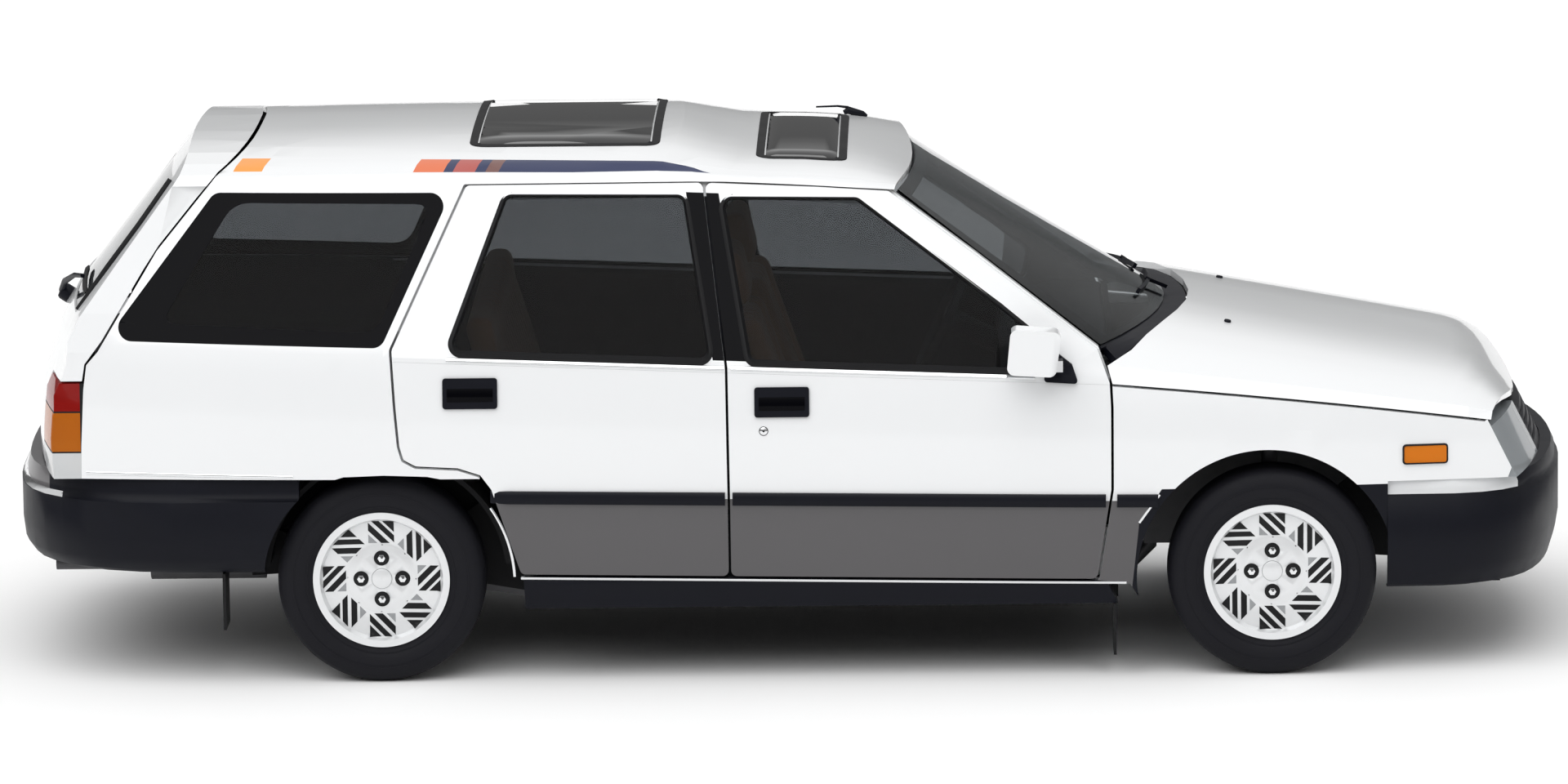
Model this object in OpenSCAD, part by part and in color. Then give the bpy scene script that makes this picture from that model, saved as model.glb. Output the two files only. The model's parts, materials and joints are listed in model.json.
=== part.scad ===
// Five-door station wagon with a raised rear roof: body panels on a shared skin,
// opening doors and lids, cabin, running gear. Millimetres, +X forward, +Y left, +Z up.

/* [Layout] */
// Distance between the axles
wheelbase = 2380; // [2340:5:2420]
// Front axle to the front of the bumper
front_overhang = 808; // [790:1:830]
// Rear axle to the back of the bumper
rear_overhang = 1008; // [990:1:1030]
// Seam between the doors, ahead of the rear axle
b_pillar = 933; // [920:1:950]

/* [Body skin] */
// Half of the body's width at the waist
half_w = 817; // [800:1:830]
// Height of the widest line
waist_z = 560; // [540:1:580]
// Height of the belt line at mid length
belt_z = 843; // [835:1:850]
// Fall of the belt line for each millimetre forward
belt_fall = 0.042; // [0.03:0.002:0.05]
// How far the skin draws in at the belt
belt_in = 28; // [20:1:36]
// How far the skin draws in at the sill
sill_in = 45; // [35:1:55]
// Inward lean of the side windows for each millimetre up
tumble = 0.354; // [0.33:0.002:0.37]
// How far the skin draws in at the front corners
nose_in = 97; // [85:1:105]
// How far the skin draws in at the rear corners
tail_in = 67; // [55:1:75]
// Underside of the sills
sill_z = 200; // [190:1:215]
// Top of the bumpers and of the dark lower quarters
bumper_z = 522; // [510:1:530]
// Highest point of the front roof
roof_front_z = 1368; // [1355:1:1375]
// Highest point of the raised rear roof
roof_rear_z = 1415; // [1400:1:1425]

/* [Panels] */
// Shut gap round doors and lids
shut_gap = 7; // [6:0.5:9]
// Thickness of a door below its window
door_t = 70; // [60:1:75]
// Thickness of a door's window frame
frame_t = 25; // [20:1:28]
// Gap at a door's rubber seal
seal_gap = 0.7; // [0.3:0.1:0.8]
// Fitting gap of plates, lenses and seams
plate_gap = 0.4; // [0.3:0.1:0.6]
// Thickness of fenders and quarter skins
skin_t = 25; // [18:1:30]
// Thickness of the roof, bonnet and their folded edges
lid_t = 18; // [14:1:22]
// Thickness of the glass
glass_t = 5; // [4:0.5:6]
// Radius of the rounded panel corners
corner_r = 16; // [10:1:22]

/* [Wheels] */
// Tyre's outer radius
tyre_r = 279; // [270:1:284]
// Tyre's section width
tyre_w = 165; // [155:1:170]
// Rim's bead seat radius
rim_r = 165; // [160:1:168]
// Distance between the front wheels' centres
track_f = 1390; // [1370:2:1400]
// Distance between the rear wheels' centres
track_r = 1376; // [1356:2:1390]
// Room between the rear tyres and the load floor
wheel_room = 60.5; // [55:0.5:65]
// Radius of the stub axles
spindle_r = 22; // [18:0.5:24]
// Radial running clearance of the stub axles
run_gap = 0.05; // [0.02:0.01:0.1]
// Radius of the front wheel arches
arch_r = 345; // [335:1:350]
// Steering wheel's outer radius
wheel_r = 190; // [180:1:195]

/* [Mounts] */
// Radius of the towing eye's hole
tow_r = 16; // [12:0.5:20]
// Side of the square jacking pads
jack_w = 60; // [50:1:80]

/* [Hidden] */
$fn = 48;

// Stations along the car
xf = (wheelbase + rear_overhang - front_overhang) / 2;
xr = xf - wheelbase;
nose_x = xf + front_overhang;
tail_x = xr - rear_overhang;
b_x = xr + b_pillar;
hub_z = tyre_r;
drip_z = 1327;
half_gap = shut_gap / 2;

function lerp(a, b, t) = a + (b - a) * t;
function unit(t) = max(0, min(1, t));
function ease(t) = let (u = unit(t)) u * u * (3 - 2 * u);

// Body skin: half width of the car at a station and a height
function belt(x) = belt_z - belt_fall * x;
function plan_in(x) =
    x > xf - 690 ? nose_in * pow((x - xf + 690) / 1300, 2) :
    x < xr + 190 ? tail_in * pow((xr + 190 - x) / 1040, 2) : 0;
function side_in(x, z) =
    z < waist_z ? sill_in * pow((waist_z - z) / 360, 2) :
    z < belt(x) ? belt_in * pow((z - waist_z) / (belt(x) - waist_z), 2) :
    belt_in + (z - belt(x)) * tumble;
function hw(x, z) = half_w - plan_in(x) - side_in(x, z);

// Depth under the skin, from its value below the belt to its value in the window frames
function depth(x, z, d) = lerp(d[0], d[1], ease((z - belt(x)) / 70));

// Lower edge of the doors, lower edge of the roof and edge between fender and bonnet
function sill_top(x) = 281 - 0.018 * x;
function drip(x) = drip_z - 27 * pow(unit((x - b_x + 61) / 494), 1.3);
function crease(x) = let (d = x - xf) 754 - 0.113 * d - 0.00003 * d * d;

// Closed slab between two grids of points; the outer one's rows cross columns faces outward
module slab(outer, inner) {
    r = len(outer);
    c = len(outer[0]);
    n = r * c;
    sheet = [for (i = [0 : r - 2], j = [0 : c - 2]) each
        let (p = i * c + j, q = p + c) [
            [p, q, q + 1], [p, q + 1, p + 1],
            [n + p, n + q + 1, n + q], [n + p, n + p + 1, n + q + 1]
        ]];
    ends = [for (i = [0 : r - 2]) each
        let (p = i * c, q = p + c, s = p + c - 1, t = q + c - 1) [
            [q, p, n + p], [q, n + p, n + q], [s, t, n + t], [s, n + t, n + s]
        ]];
    sides = [for (j = [0 : c - 2]) each
        let (p = j, q = j + 1, s = n - c + j, t = s + 1) [
            [p, q, n + q], [p, n + q, n + p], [t, s, n + s], [t, n + s, n + t]
        ]];
    points = concat([for (row = outer) each row], [for (row = inner) each row]);
    polyhedron(points, [for (f = concat(sheet, ends, sides)) [f[0], f[2], f[1]]]);
}

// Slab under the right-hand skin between two depths, each given below and above the belt
module side_slab(x0, x1, nx, z0, z1, low_rows, high_rows, d0, d1) {
    function rows(x) = high_rows == 0 ?
        [for (j = [0 : low_rows]) lerp(z0, z1, j / low_rows)] :
        concat([for (j = [0 : low_rows]) lerp(z0, belt(x), j / low_rows)],
            [for (j = [1 : high_rows]) lerp(belt(x), z1, pow(j / high_rows, 1.4))]);
    function grid(d) = [for (i = [0 : nx]) let (x = lerp(x0, x1, i / nx))
        [for (z = rows(x)) [x, depth(x, z, d) - hw(x, z), z]]];
    slab(grid(d0), grid(d1));
}

// Side-view outline pushed through the right-hand side, grown and with rounded corners
module side_cut(grow = 0, round = 0) {
    rotate([90, 0, 0])
        linear_extrude(1000)
            offset(r = round)
                offset(delta = grow - round)
                    children();
}

// Rear-view outline pushed along the car from a station
module tail_cut(x0, length, grow = 0) {
    translate([x0, 0, 0])
        rotate([90, 0, 90])
            linear_extrude(length)
                offset(delta = grow)
                    children();
}

module left() {
    mirror([0, 1, 0])
        children();
}

module both() {
    children();
    left()
        children();
}

// Side-view outlines of the doors, windows, arches and quarter panel
module front_door_2d() {
    polygon([
        [b_x - 61, drip_z], [b_x + 240, drip(b_x + 240)], [xf - 1014, drip(xf - 1014)],
        [xf - 782, 1132], [xf - 460, 888], [xf - 428, 800], [xf - 425, 734],
        [xf - 426, 515], [xf - 465, sill_top(xf - 465)], [b_x, sill_top(b_x)],
        [b_x, 525], [b_x - 3, belt(b_x)]
    ]);
}

module rear_door_2d() {
    polygon([
        [b_x - 61, drip_z], [b_x - 3, belt(b_x)], [b_x, 525], [b_x, sill_top(b_x)],
        [xr + 374, sill_top(xr + 374)], [xr + 298, 531], [xr + 270, 569], [xr + 212, 588],
        [xr + 100, 594], [xr + 66, 612], [xr + 55, 650], [xr + 46, 755], [xr + 37, 905],
        [xr + 238, drip_z]
    ]);
}

module front_glass_2d() {
    polygon([
        [b_x - 20, 1288], [xf - 1097, 1282], [xf - 719, 1003], [xf - 622, 925],
        [xf - 640, belt(xf - 640) + 12], [b_x + 54, belt(b_x + 54) + 12]
    ]);
}

module rear_glass_2d() {
    polygon([
        [xr + 184, belt(xr + 184) + 12], [xr + 341, 1300], [b_x - 107, 1294],
        [b_x - 38, belt(b_x - 38) + 12]
    ]);
}

module quarter_window_2d() {
    polygon([[xr - 726, 931], [xr + 12, 910], [xr + 200, 1306], [xr - 434, 1310]]);
}

module rear_arch_2d() {
    polygon([
        [xr - 274, 150], [xr - 274, 287], [xr - 255, 400], [xr - 214, 500], [xr - 160, 548],
        [xr - 93, 569], [xr + 16, 573], [xr + 130, 569], [xr + 211, 553], [xr + 265, 525],
        [xr + 308, 485], [xr + 345, 410], [xr + 370, 330], [xr + 378, 150]
    ]);
}

// Seam between quarter panel and tailgate in the side view
seam = [[560, -796], [647, -794], [800, -786], [866, -777], [901, -746], [1160, -588],
    [1354, -427], [1405, -350], [1450, -300]];
function seam_x(z) = xr + lookup(z, seam);

module quarter_2d() {
    polygon(concat(
        [[xr - 214, bumper_z + 40], [xr + 300, bumper_z + 40], [xr + 300, drip_z]],
        [for (i = [len(seam) - 3 : -1 : 0]) let (z = min(seam[i][0], drip_z))
            [seam_x(z), max(z, bumper_z + 40)]]
    ));
}

// Roof: raised at the rear, stepped down over the front doors, rounded to the header
roof_x0 = xr - 350;
step_x = b_x - 180;
header_x = xf - 952;
function roof_c(x) = lerp(
    roof_rear_z - 7 * pow(unit((xr + 290 - x) / 640), 2),
    roof_front_z - 62 * pow(unit((x - header_x + 388) / 388), 3),
    ease((x - step_x) / 250));
function shoulder(s) = pow(1 - pow(abs(s), 2.6), 0.4545);
function roof_p(x, s, d) =
    let (w = hw(x, drip(x)), e = drip(x))
    [x, s * (w - d), e + (roof_c(x) - e) * shoulder(s) - d * (1 - pow(abs(s), 6))];

// The rear edge follows the seam of the tailgate
function roof_rear(s) = seam_x(roof_p(roof_x0, s, 0)[2]);

module roof_slab(d0, d1, rows = 20) {
    function grid(d) = [for (i = [0 : rows])
        [for (j = [-7 : 7]) let (s = sin(j * 90 / 7))
            roof_p(lerp(roof_rear(s), header_x - 47 * s * s, i / rows), s, d)]];
    slab(grid(d0), grid(d1));
}

// Plan outlines of the two glazed roof openings
front_roof_x = [xf - 1345, xf - 1153];
rear_roof_x = [xr + 265, xr + 725];
roof_half = 407;
module roof_openings(grow) {
    for (x = [front_roof_x, rear_roof_x])
        translate([x[0] - grow, -roof_half - grow, 1250])
            cube([x[1] - x[0] + 2 * grow, 2 * (roof_half + grow), 250]);
}

module roof_panel() {
    color("white")
        difference() {
            roof_slab(0, lid_t);
            roof_openings(0);
        }
}

// Piece of the roof's surface between two stations, given its half width and two depths
module roof_patch(x, half, d0, d1) {
    function at(x, y, d) = roof_p(x, y / (hw(x, drip(x)) - d), d);
    function grid(d) = [for (i = [0 : 5])
        [for (j = [-4 : 4]) at(lerp(x[0], x[1], i / 5), j * half / 4, d)]];
    slab(grid(d0), grid(d1));
}

// Glass lids: each pane fills its opening and carries a flange under the roof
module sunroof_glass() {
    color("black")
        for (lid = [[front_roof_x, 1.5], [rear_roof_x, 2.3]]) {
            x = lid[0];
            roof_patch(x, roof_half, -2, lid_t + 8);
            roof_patch([x[0] - 20, x[1] + 20], roof_half + 20, lid_t + lid[1], lid_t + 8);
        }
}

// Bonnet: clamshell lid whose edge is the crease above the fenders
function bonnet_c(x) = let (d = x - xf) 882 - 0.19 * d - 100 * pow(unit((d - 540) / 160), 1.6);
function bonnet_z(x, s) = lerp(crease(x), bonnet_c(x), sqrt(1 - pow(abs(s), 3)));
function bonnet_rear(s) = xf - 200 - 210 * s * s - 37 * unit((abs(s) - 0.9) / 0.075)
    + 23 * unit((abs(s) - 0.975) / 0.025);
function bonnet_front(s) = xf + 683 - 98 * s * s;
function bonnet_w(x) = hw(x, crease(x));
function bonnet_p(x, s, d) =
    [x, s * (bonnet_w(x) - d), bonnet_z(x, s) - d * (1 - pow(abs(s), 6))];

module bonnet() {
    function grid(d) = [for (i = [0 : 16])
        [for (j = [-7 : 7]) let (s = sin(j * 90 / 7))
            bonnet_p(lerp(bonnet_rear(s), bonnet_front(s), i / 16), s, d)]];
    color("white")
        slab(grid(0), grid(lid_t));
}

// Windscreen: bowed across, straight down; u runs across, v down, d is depth under it
function screen_p(u, v, d) = [
    lerp(header_x + 692 * v, header_x - 47 + 540 * v, u * u) - 0.499 * d,
    u * lerp(585, 715, v),
    lerp(1305 - 398 * v, 1297 - 415 * v, u * u) - 0.867 * d
];

module screen_slab(u, v, d, nu = 12, nv = 4) {
    function grid(k) = [for (i = [0 : nv])
        [for (j = [0 : nu]) screen_p(lerp(u[0], u[1], j / nu), lerp(v[0], v[1], i / nv), k)]];
    slab(grid(d[0]), grid(d[1]));
}

module windscreen() {
    color("lightblue")
        screen_slab([-0.972, 0.972], [0.012, 0.99], [0, glass_t]);
}

// Frame under the glass edge, and the cowl that runs on to the bonnet
module windscreen_frame() {
    function cowl_p(s, w, d) = let (
        a = screen_p(s, 0.985, glass_t + 3),
        x = bonnet_rear(s) - shut_gap,
        b = [x, s * (bonnet_w(x) - 30), bonnet_z(x, s) - 16])
        [lerp(a[0], b[0], w), lerp(a[1], b[1], w), lerp(a[2], b[2], w) - d];
    function cowl(d) = [for (i = [0 : 3]) [for (j = [-6 : 6]) cowl_p(j / 6.4, i / 3, d)]];
    color("dimgray") {
        screen_slab([-0.97, -0.88], [0.012, 1], [glass_t + 2.4, 32], 2);
        screen_slab([0.88, 0.97], [0.012, 1], [glass_t + 2.4, 32], 2);
        screen_slab([-0.97, 0.97], [0.012, 0.06], [glass_t + 1, 28], 12, 1);
        screen_slab([-0.97, 0.97], [0.96, 1], [glass_t + 1, 40], 12, 1);
        slab(cowl(0), cowl(24));
    }
}

// Wiper: an arm from the cowl and a blade lying on the glass
module wipers() {
    function strip(a, b, w, d) = [for (i = [0 : 8])
        [for (k = [-1, 1]) screen_p(lerp(a[0], b[0], i / 8), lerp(a[1], b[1], i / 8) - k * w, d)]];
    color("black")
        for (u = [0.02, 0.62]) {
            slab(strip([u - 0.32, 0.9], [u + 0.3, 0.94], 0.006, -16),
                strip([u - 0.32, 0.9], [u + 0.3, 0.94], 0.006, -0.8));
            slab(strip([u - 0.05, 0.915], [u + 0.02, 0.985], 0.008, -20),
                strip([u - 0.05, 0.915], [u + 0.02, 0.985], 0.008, -10));
        }
}

// Seam between a door's shell and its window frame, under the bright belt moulding
module frame_seam() {
    side_cut()
        polygon([for (x = [xr - 100, xf]) [x, belt(x) - 12],
            for (x = [xf, xr - 100]) [x, belt(x) - 12 - plate_gap]]);
}

module door_front_right() {
    color("white")
        difference() {
            intersection() {
                side_slab(b_x - 70, xf - 420, 8, sill_z + 50, drip_z, 8, 4, [0, 0],
                    [door_t, frame_t]);
                side_cut(-half_gap, corner_r)
                    front_door_2d();
            }
            side_cut(0, 30)
                front_glass_2d();
            frame_seam();
        }
}

module door_rear_right() {
    color("white")
        difference() {
            intersection() {
                side_slab(xr + 30, b_x + 5, 8, sill_z + 50, drip_z, 8, 4, [0, 0],
                    [door_t, frame_t]);
                side_cut(-half_gap, corner_r)
                    rear_door_2d();
            }
            side_cut(0, 30)
                rear_glass_2d();
            frame_seam();
        }
}

module glass_front_right() {
    color("lightblue")
        intersection() {
            side_slab(b_x - 40, xf - 580, 6, 780, drip_z, 1, 3, [8, 8], [8 + glass_t, 8 + glass_t]);
            side_cut(0, 30)
                front_glass_2d();
        }
}

module glass_rear_right() {
    color("lightblue")
        intersection() {
            side_slab(xr + 150, b_x, 6, 780, drip_z, 1, 3, [8, 8], [8 + glass_t, 8 + glass_t]);
            side_cut(0, 30)
                rear_glass_2d();
        }
}

module quarter_glass() {
    color("lightblue")
        both()
            intersection() {
                side_slab(xr - 750, xr + 220, 8, 860, drip_z, 1, 3, [3, 3],
                    [3 + glass_t, 3 + glass_t]);
                side_cut(0, 36)
                    quarter_window_2d();
            }
}

// Body side: quarter skin, sill, and the frame that the doors shut against
module body_side_right() {
    ring_0 = [door_t + seal_gap, frame_t + seal_gap];
    ring_1 = [door_t + 34, frame_t + 30];
    color("whitesmoke") {
        difference() {
            intersection() {
                side_slab(xr - 800, xr + 290, 12, bumper_z + 10, drip_z, 5, 4, [0, 0],
                    [skin_t, skin_t]);
                difference() {
                    side_cut()
                        quarter_2d();
                    side_cut(half_gap, corner_r)
                        rear_door_2d();
                    side_cut()
                        rear_arch_2d();
                }
            }
            side_cut(0, 36)
                quarter_window_2d();
        }
        intersection() {
            side_slab(xr + 380, xf - 380, 8, sill_z, 300, 3, 0, [0, 0], [door_t + 12, door_t + 12]);
            side_cut(-half_gap)
                polygon([[xr + 384, 150], [xf - 385, 150], [xf - 440, sill_top(xf - 440)],
                    [xr + 378, sill_top(xr + 378)]]);
        }
        difference() {
            intersection() {
                side_slab(xr - 60, xf - 430, 12, sill_z, drip_z, 6, 4, ring_0, ring_1);
                union() {
                    side_cut()
                        front_door_2d();
                    side_cut()
                        rear_door_2d();
                    side_cut()
                        polygon([[xr + 384, 150], [xf - 470, 150], [xf - 430, 400],
                            [xr + 390, 400]]);
                    side_cut()
                        polygon([[xr - 40, 600], [xr + 120, 600], [xr + 120, 920],
                            [xr + 260, drip_z], [xr + 140, drip_z], [xr - 40, 930]]);
                }
            }
            side_cut(-45, 40)
                front_door_2d();
            side_cut(-45, 40)
                rear_door_2d();
            side_cut(4)
                rear_arch_2d();
            side_cut(0, 36)
                quarter_window_2d();
        }
        tail_buffer();
    }
}

// Rubber stop that the shut tailgate rests on
module tail_buffer() {
    intersection() {
        side_slab(xr - 760, xr - 560, 2, 980, 1080, 2, 0, [6, 6], [20, 20]);
        side_cut()
            polygon([[seam_x(1000), 1000], [seam_x(1040), 1040],
                [seam_x(1040) - shut_gap + seal_gap, 1040],
                [seam_x(1000) - shut_gap + seal_gap, 1000]]);
    }
}

module fender_2d() {
    polygon(concat(
        [[xf - 425, 734], [xf - 426, 515], [xf - 465, sill_top(xf - 465)],
            [xf - 380, sill_top(xf - 380) - 10], [xf - 360, sill_z + 20], [xf + 308, sill_z + 20],
            [xf + 308, bumper_z], [xf + 630, bumper_z], [xf + 640, 548], [xf + 575, 679]],
        [for (i = [6 : -1 : 0]) let (x = xf - 428 + i * 166) [x, crease(x) - shut_gap]]
    ));
}

module fender_right() {
    color("white")
        difference() {
            intersection() {
                side_slab(xf - 470, xf + 650, 16, sill_z, 820, 8, 0, [0, 0], [skin_t, skin_t]);
                difference() {
                    side_cut()
                        fender_2d();
                    side_cut(half_gap, corner_r)
                        front_door_2d();
                }
            }
            arch_cut(arch_r);
        }
}

module arch_cut(r) {
    translate([xf - 17, 0, 270])
        rotate([90, 0, 0])
            cylinder(r = r, h = 2000, center = true, $fn = 96);
}

// Wrap-round bumper: its plan curve at an offset inward, at one height
function wrap_p(base, reach, w, power, bow, s, o, z) = [
    base + sign(reach) * (abs(reach) - o - bow * s * s) * pow(1 - pow(abs(s), power), 0.25),
    s * (w - o), z];

module wrap(base, reach, w, power, bow, profile, wall) {
    function grid(k) = [for (j = [-12 : 12]) let (s = sin(j * 90 / 12) * sign(reach))
        [for (p = profile) wrap_p(base, reach, w, power, bow, s, p[0] + k, p[1])]];
    slab(grid(0), grid(wall));
}

front_wrap = [xf + 308, front_overhang - 308, hw(xf + 308, 400) + 6, 8, 136];
rear_wrap = [xr - 214, -(rear_overhang - 214), hw(xr - 214, 450) + 2, 5, 50];
bumper_wall = 30;

module front_bumper() {
    color("dimgray")
        wrap(front_wrap[0], front_wrap[1], front_wrap[2], front_wrap[3], front_wrap[4],
            [[70, 222], [24, 236], [8, 290], [0, 340], [0, 474], [10, 482], [10, 500],
                [20, bumper_z]], bumper_wall);
}

module rear_bumper() {
    color("dimgray")
        difference() {
            wrap(rear_wrap[0], rear_wrap[1], rear_wrap[2], rear_wrap[3], rear_wrap[4],
                [[60, 300], [26, 314], [6, 345], [0, 400], [0, 500], [16, 512], [16, 528],
                    [24, bumper_z + 40]], bumper_wall);
            both()
                side_cut()
                    rear_arch_2d();
            translate([xr, 0, hub_z])
                rotate([90, 0, 0])
                    cylinder(r = tyre_r + 33, h = 2000, center = true, $fn = 96);
        }
}

// Nose between bonnet and bumper: leans forward and is bowed in plan
nose_back = xf + 635;
lamp_y = 325;
function nose_face(y, z) = xf + 683 - 98 * pow(y / 700, 2) + (668 - z) * 0.5;

module nose_slab(y0, y1, ny, z0, z1, depth) {
    zs = [for (k = [0 : 4]) lerp(z0, z1, k / 4)];
    ys = [for (j = [0 : ny]) lerp(y0, y1, j / ny)];
    slab([for (y = ys) [for (z = zs) [nose_face(y, z), y, z]]],
        [for (y = ys) [for (z = zs) [depth == 0 ? nose_back : nose_face(y, z) - depth, y, z]]]);
}

module grille() {
    color("black") {
        difference() {
            nose_slab(-lamp_y, lamp_y, 10, bumper_z, 644, 0);
            for (k = [0 : 4])
                translate([nose_back + 10, -lamp_y + 20, 545 + k * 22])
                    cube([200, 2 * lamp_y - 40, 13]);
        }
        for (y = [-220, 220]) {
            x = xf + 600;
            translate([x, y, 600])
                cylinder(r = 12, h = bonnet_z(x, y / bonnet_w(x)) - lid_t - 618);
            translate([x - 15, y - 15, 592.2])
                cube([40, 30, 12]);
        }
    }
}

module front_lamps() {
    color("lightyellow")
        both() {
            difference() {
                nose_slab(-712, -lamp_y, 8, bumper_z, 660, 55);
                side_cut()
                    fender_2d();
            }
            intersection() {
                side_slab(xf + 340, xf + 480, 4, 560, 625, 2, 0, [-3, -3], [-plate_gap, -plate_gap]);
                side_cut(0, 6)
                    translate([xf + 352, 570])
                        square([113, 45]);
            }
        }
}

// Tail: leaning glass, a fuller panel below it, bowed in plan
tail_line = [[540, -956], [640, -962], [780, -950], [860, -912], [945, -886], [1375, -550],
    [1450, -492]];
function tail_face(y, z) = xr + lookup(z, tail_line) + lerp(65, 45, ease((z - 800) / 200)) * y * y / 422500;
lamp_in = 560;
tail_gap_z = 820;

module tail_slab(z0, z1, nz, y0, y1, ny, front, offset = 0) {
    zs = [for (k = [0 : nz]) lerp(z0, z1, k / nz)];
    ys = [for (j = [0 : ny]) lerp(y0, y1, j / ny)];
    slab([for (z = zs) [for (y = ys) [tail_face(y, z) + offset, y, z]]],
        [for (z = zs) [for (y = ys) [seam_x(z) + front, y, z]]]);
}

// Rear-view outline of the tailgate: narrow between the lamps, then as wide as the body
module tailgate_2d() {
    side = [for (z = [tail_gap_z + half_gap, 900, 1000, 1160, drip_z]) [hw(seam_x(z), z), z]];
    top = [for (j = [6 : -1 : -6]) let (p = roof_p(roof_x0, sin(j * 15), 0)) [p[1], p[2]]];
    lower = [[lamp_in - shut_gap, bumper_z + 50], [lamp_in - shut_gap, tail_gap_z + half_gap]];
    polygon(concat(lower, side, top,
        [for (i = [len(side) - 1 : -1 : 0]) [-side[i][0], side[i][1]]],
        [for (i = [1 : -1 : 0]) [-lower[i][0], lower[i][1]]]));
}

module tail_window_2d() {
    polygon([[-600, 985], [600, 985], [505, 1335], [-505, 1335]]);
}

module tailgate() {
    color("white")
        difference() {
            intersection() {
                tail_slab(bumper_z + 40, 1420, 14, -800, 800, 12, -shut_gap);
                tail_cut(tail_x - 50, 1200)
                    tailgate_2d();
            }
            intersection() {
                tail_slab(bumper_z + 30, 1420, 8, -800, 800, 6, 400, 45);
                tail_cut(tail_x - 50, 1200, -40)
                    tailgate_2d();
            }
            tail_cut(tail_x - 50, 1200)
                tail_window_2d();
        }
}

module tailgate_glass() {
    color("lightblue")
        intersection() {
            slab([for (z = [970, 1150, 1350]) [for (j = [-8 : 8]) [tail_face(j * 80, z) + 6, j * 80, z]]],
                [for (z = [970, 1150, 1350])
                    [for (j = [-8 : 8]) [tail_face(j * 80, z) + 6 + glass_t, j * 80, z]]]);
            tail_cut(tail_x - 50, 1200)
                tail_window_2d();
        }
}

module rear_lamps() {
    zs = [bumper_z + 40, 640, 720, tail_gap_z - half_gap];
    color("firebrick")
        both()
            difference() {
                intersection() {
                    tail_slab(bumper_z + 30, 840, 5, -800, -500, 4, 0);
                    tail_cut(tail_x - 50, 1200)
                        polygon(concat(
                            [[-lamp_in, zs[0]], [-lamp_in, zs[3]]],
                            [for (i = [3 : -1 : 0]) [-hw(seam_x(zs[i]), zs[i]), zs[i]]]));
                }
                side_cut(plate_gap)
                    quarter_2d();
            }
}

// Floor, tunnel, bulkhead, load floor, rear wheel houses and rear panel
floor_t = 25;
load_z = 520;
load_half = (track_r - tyre_w) / 2 - wheel_room;
module floor_pan() {
    heel = xr + 560;
    dash_x = xf - 428;
    color("dimgray") {
        difference() {
            union() {
                translate([heel, -667.3, sill_z])
                    cube([xf - 690 - heel, 1334.6, floor_t]);
                translate([heel, -660, sill_z])
                    cube([dash_x - heel + 18, 1320, floor_t]);
                translate([heel, -120, sill_z])
                    cube([dash_x - heel, 240, 200]);
            }
            translate([heel - 1, -95, sill_z - 1])
                cube([dash_x - heel - 20, 190, 176]);
        }
        translate([dash_x, -676, sill_z])
            cube([18, 1352, 637]);
        translate([heel - 18, -655, sill_z])
            cube([18, 1310, 250]);
        translate([xr + 190, -load_half, 430])
            cube([130, 2 * load_half, 20]);
        translate([xr + 310, -640, 430])
            cube([heel - xr - 310, 1280, 20]);
        translate([xr + 190, -load_half, 430])
            cube([20, 2 * load_half, load_z - 400]);
        translate([tail_x + 118, -load_half, load_z])
            cube([xr + 210 - tail_x - 118, 2 * load_half, 20]);
        translate([tail_x + 110, 25 - load_half, 320])
            cube([20, 2 * load_half - 50, load_z - 310]);
        both()
            difference() {
                translate([xr + 15, 5 - load_half, hub_z])
                    rotate([90, 0, 0])
                        cylinder(r = tyre_r + 51, h = 165);
                translate([xr + 15, -load_half - 10, hub_z])
                    rotate([90, 0, 0])
                        cylinder(r = tyre_r + 38, h = 200);
                translate([xr - 400, -load_half - 255, -200])
                    cube([900, 300, 510]);
            }
        both()
            for (x = [xr + 620, xf - 560])
                translate([x - jack_w / 2, -650, sill_z - 15])
                    cube([jack_w, jack_w, 16]);
    }
}

// Inner wings, wheel houses, radiator panel and the towing eye
module front_structure() {
    color("dimgray") {
        both() {
            difference() {
                intersection() {
                    side_slab(xf - 409, xf + 560, 12, sill_z + 40, 760, 6, 0, [skin_t + 1.15, skin_t + 1.15],
                        [skin_t + 22, skin_t + 22]);
                    side_cut(-8)
                        fender_2d();
                }
                arch_cut(arch_r + 5);
            }
            difference() {
                intersection() {
                    arch_cut(arch_r + 20);
                    side_slab(xf - 385, xf + 296, 10, 330, 730, 5, 0, [skin_t + 1.15, skin_t + 1.15],
                        [290, 290]);
                }
                arch_cut(arch_r + 5);
            }
        }
        difference() {
            union() {
                translate([xf + 590, -540, 232])
                    cube([45, 1080, 200]);
                translate([xf + 590, -610, 400])
                    cube([45, 1220, 74]);
                translate([xf + 590, -385, 450])
                    cube([45, 770, 142]);
            }
            translate([xf + 580, -300, 470])
                cube([60, 600, 90]);
        }
        both()
            translate([xf + 280, -600, 400])
                cube([315, 40, 70]);
        translate([nose_back - 1, -300, 340])
            cube([front_overhang - 635 - bumper_wall - 23, 600, 110]);
        difference() {
            translate([xf + 560, -306, 160])
                cube([75, 12, 100]);
            translate([xf + 595, -320, 190])
                rotate([-90, 0, 0])
                    cylinder(r = tow_r, h = 40);
        }
    }
}

module engine() {
    color("gray") {
        translate([xf - 330, -250, 262])
            cube([620, 500, 420]);
        translate([xf - 409, -150, 280])
            cube([90, 300, 160]);
    }
}

// Seats: side profiles with rounded edges, pushed across the car
module across(y0, y1, round = 0) {
    translate([0, y1, 0])
        rotate([90, 0, 0])
            linear_extrude(y1 - y0)
                offset(r = round)
                    offset(delta = -round)
                        children();
}

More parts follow.
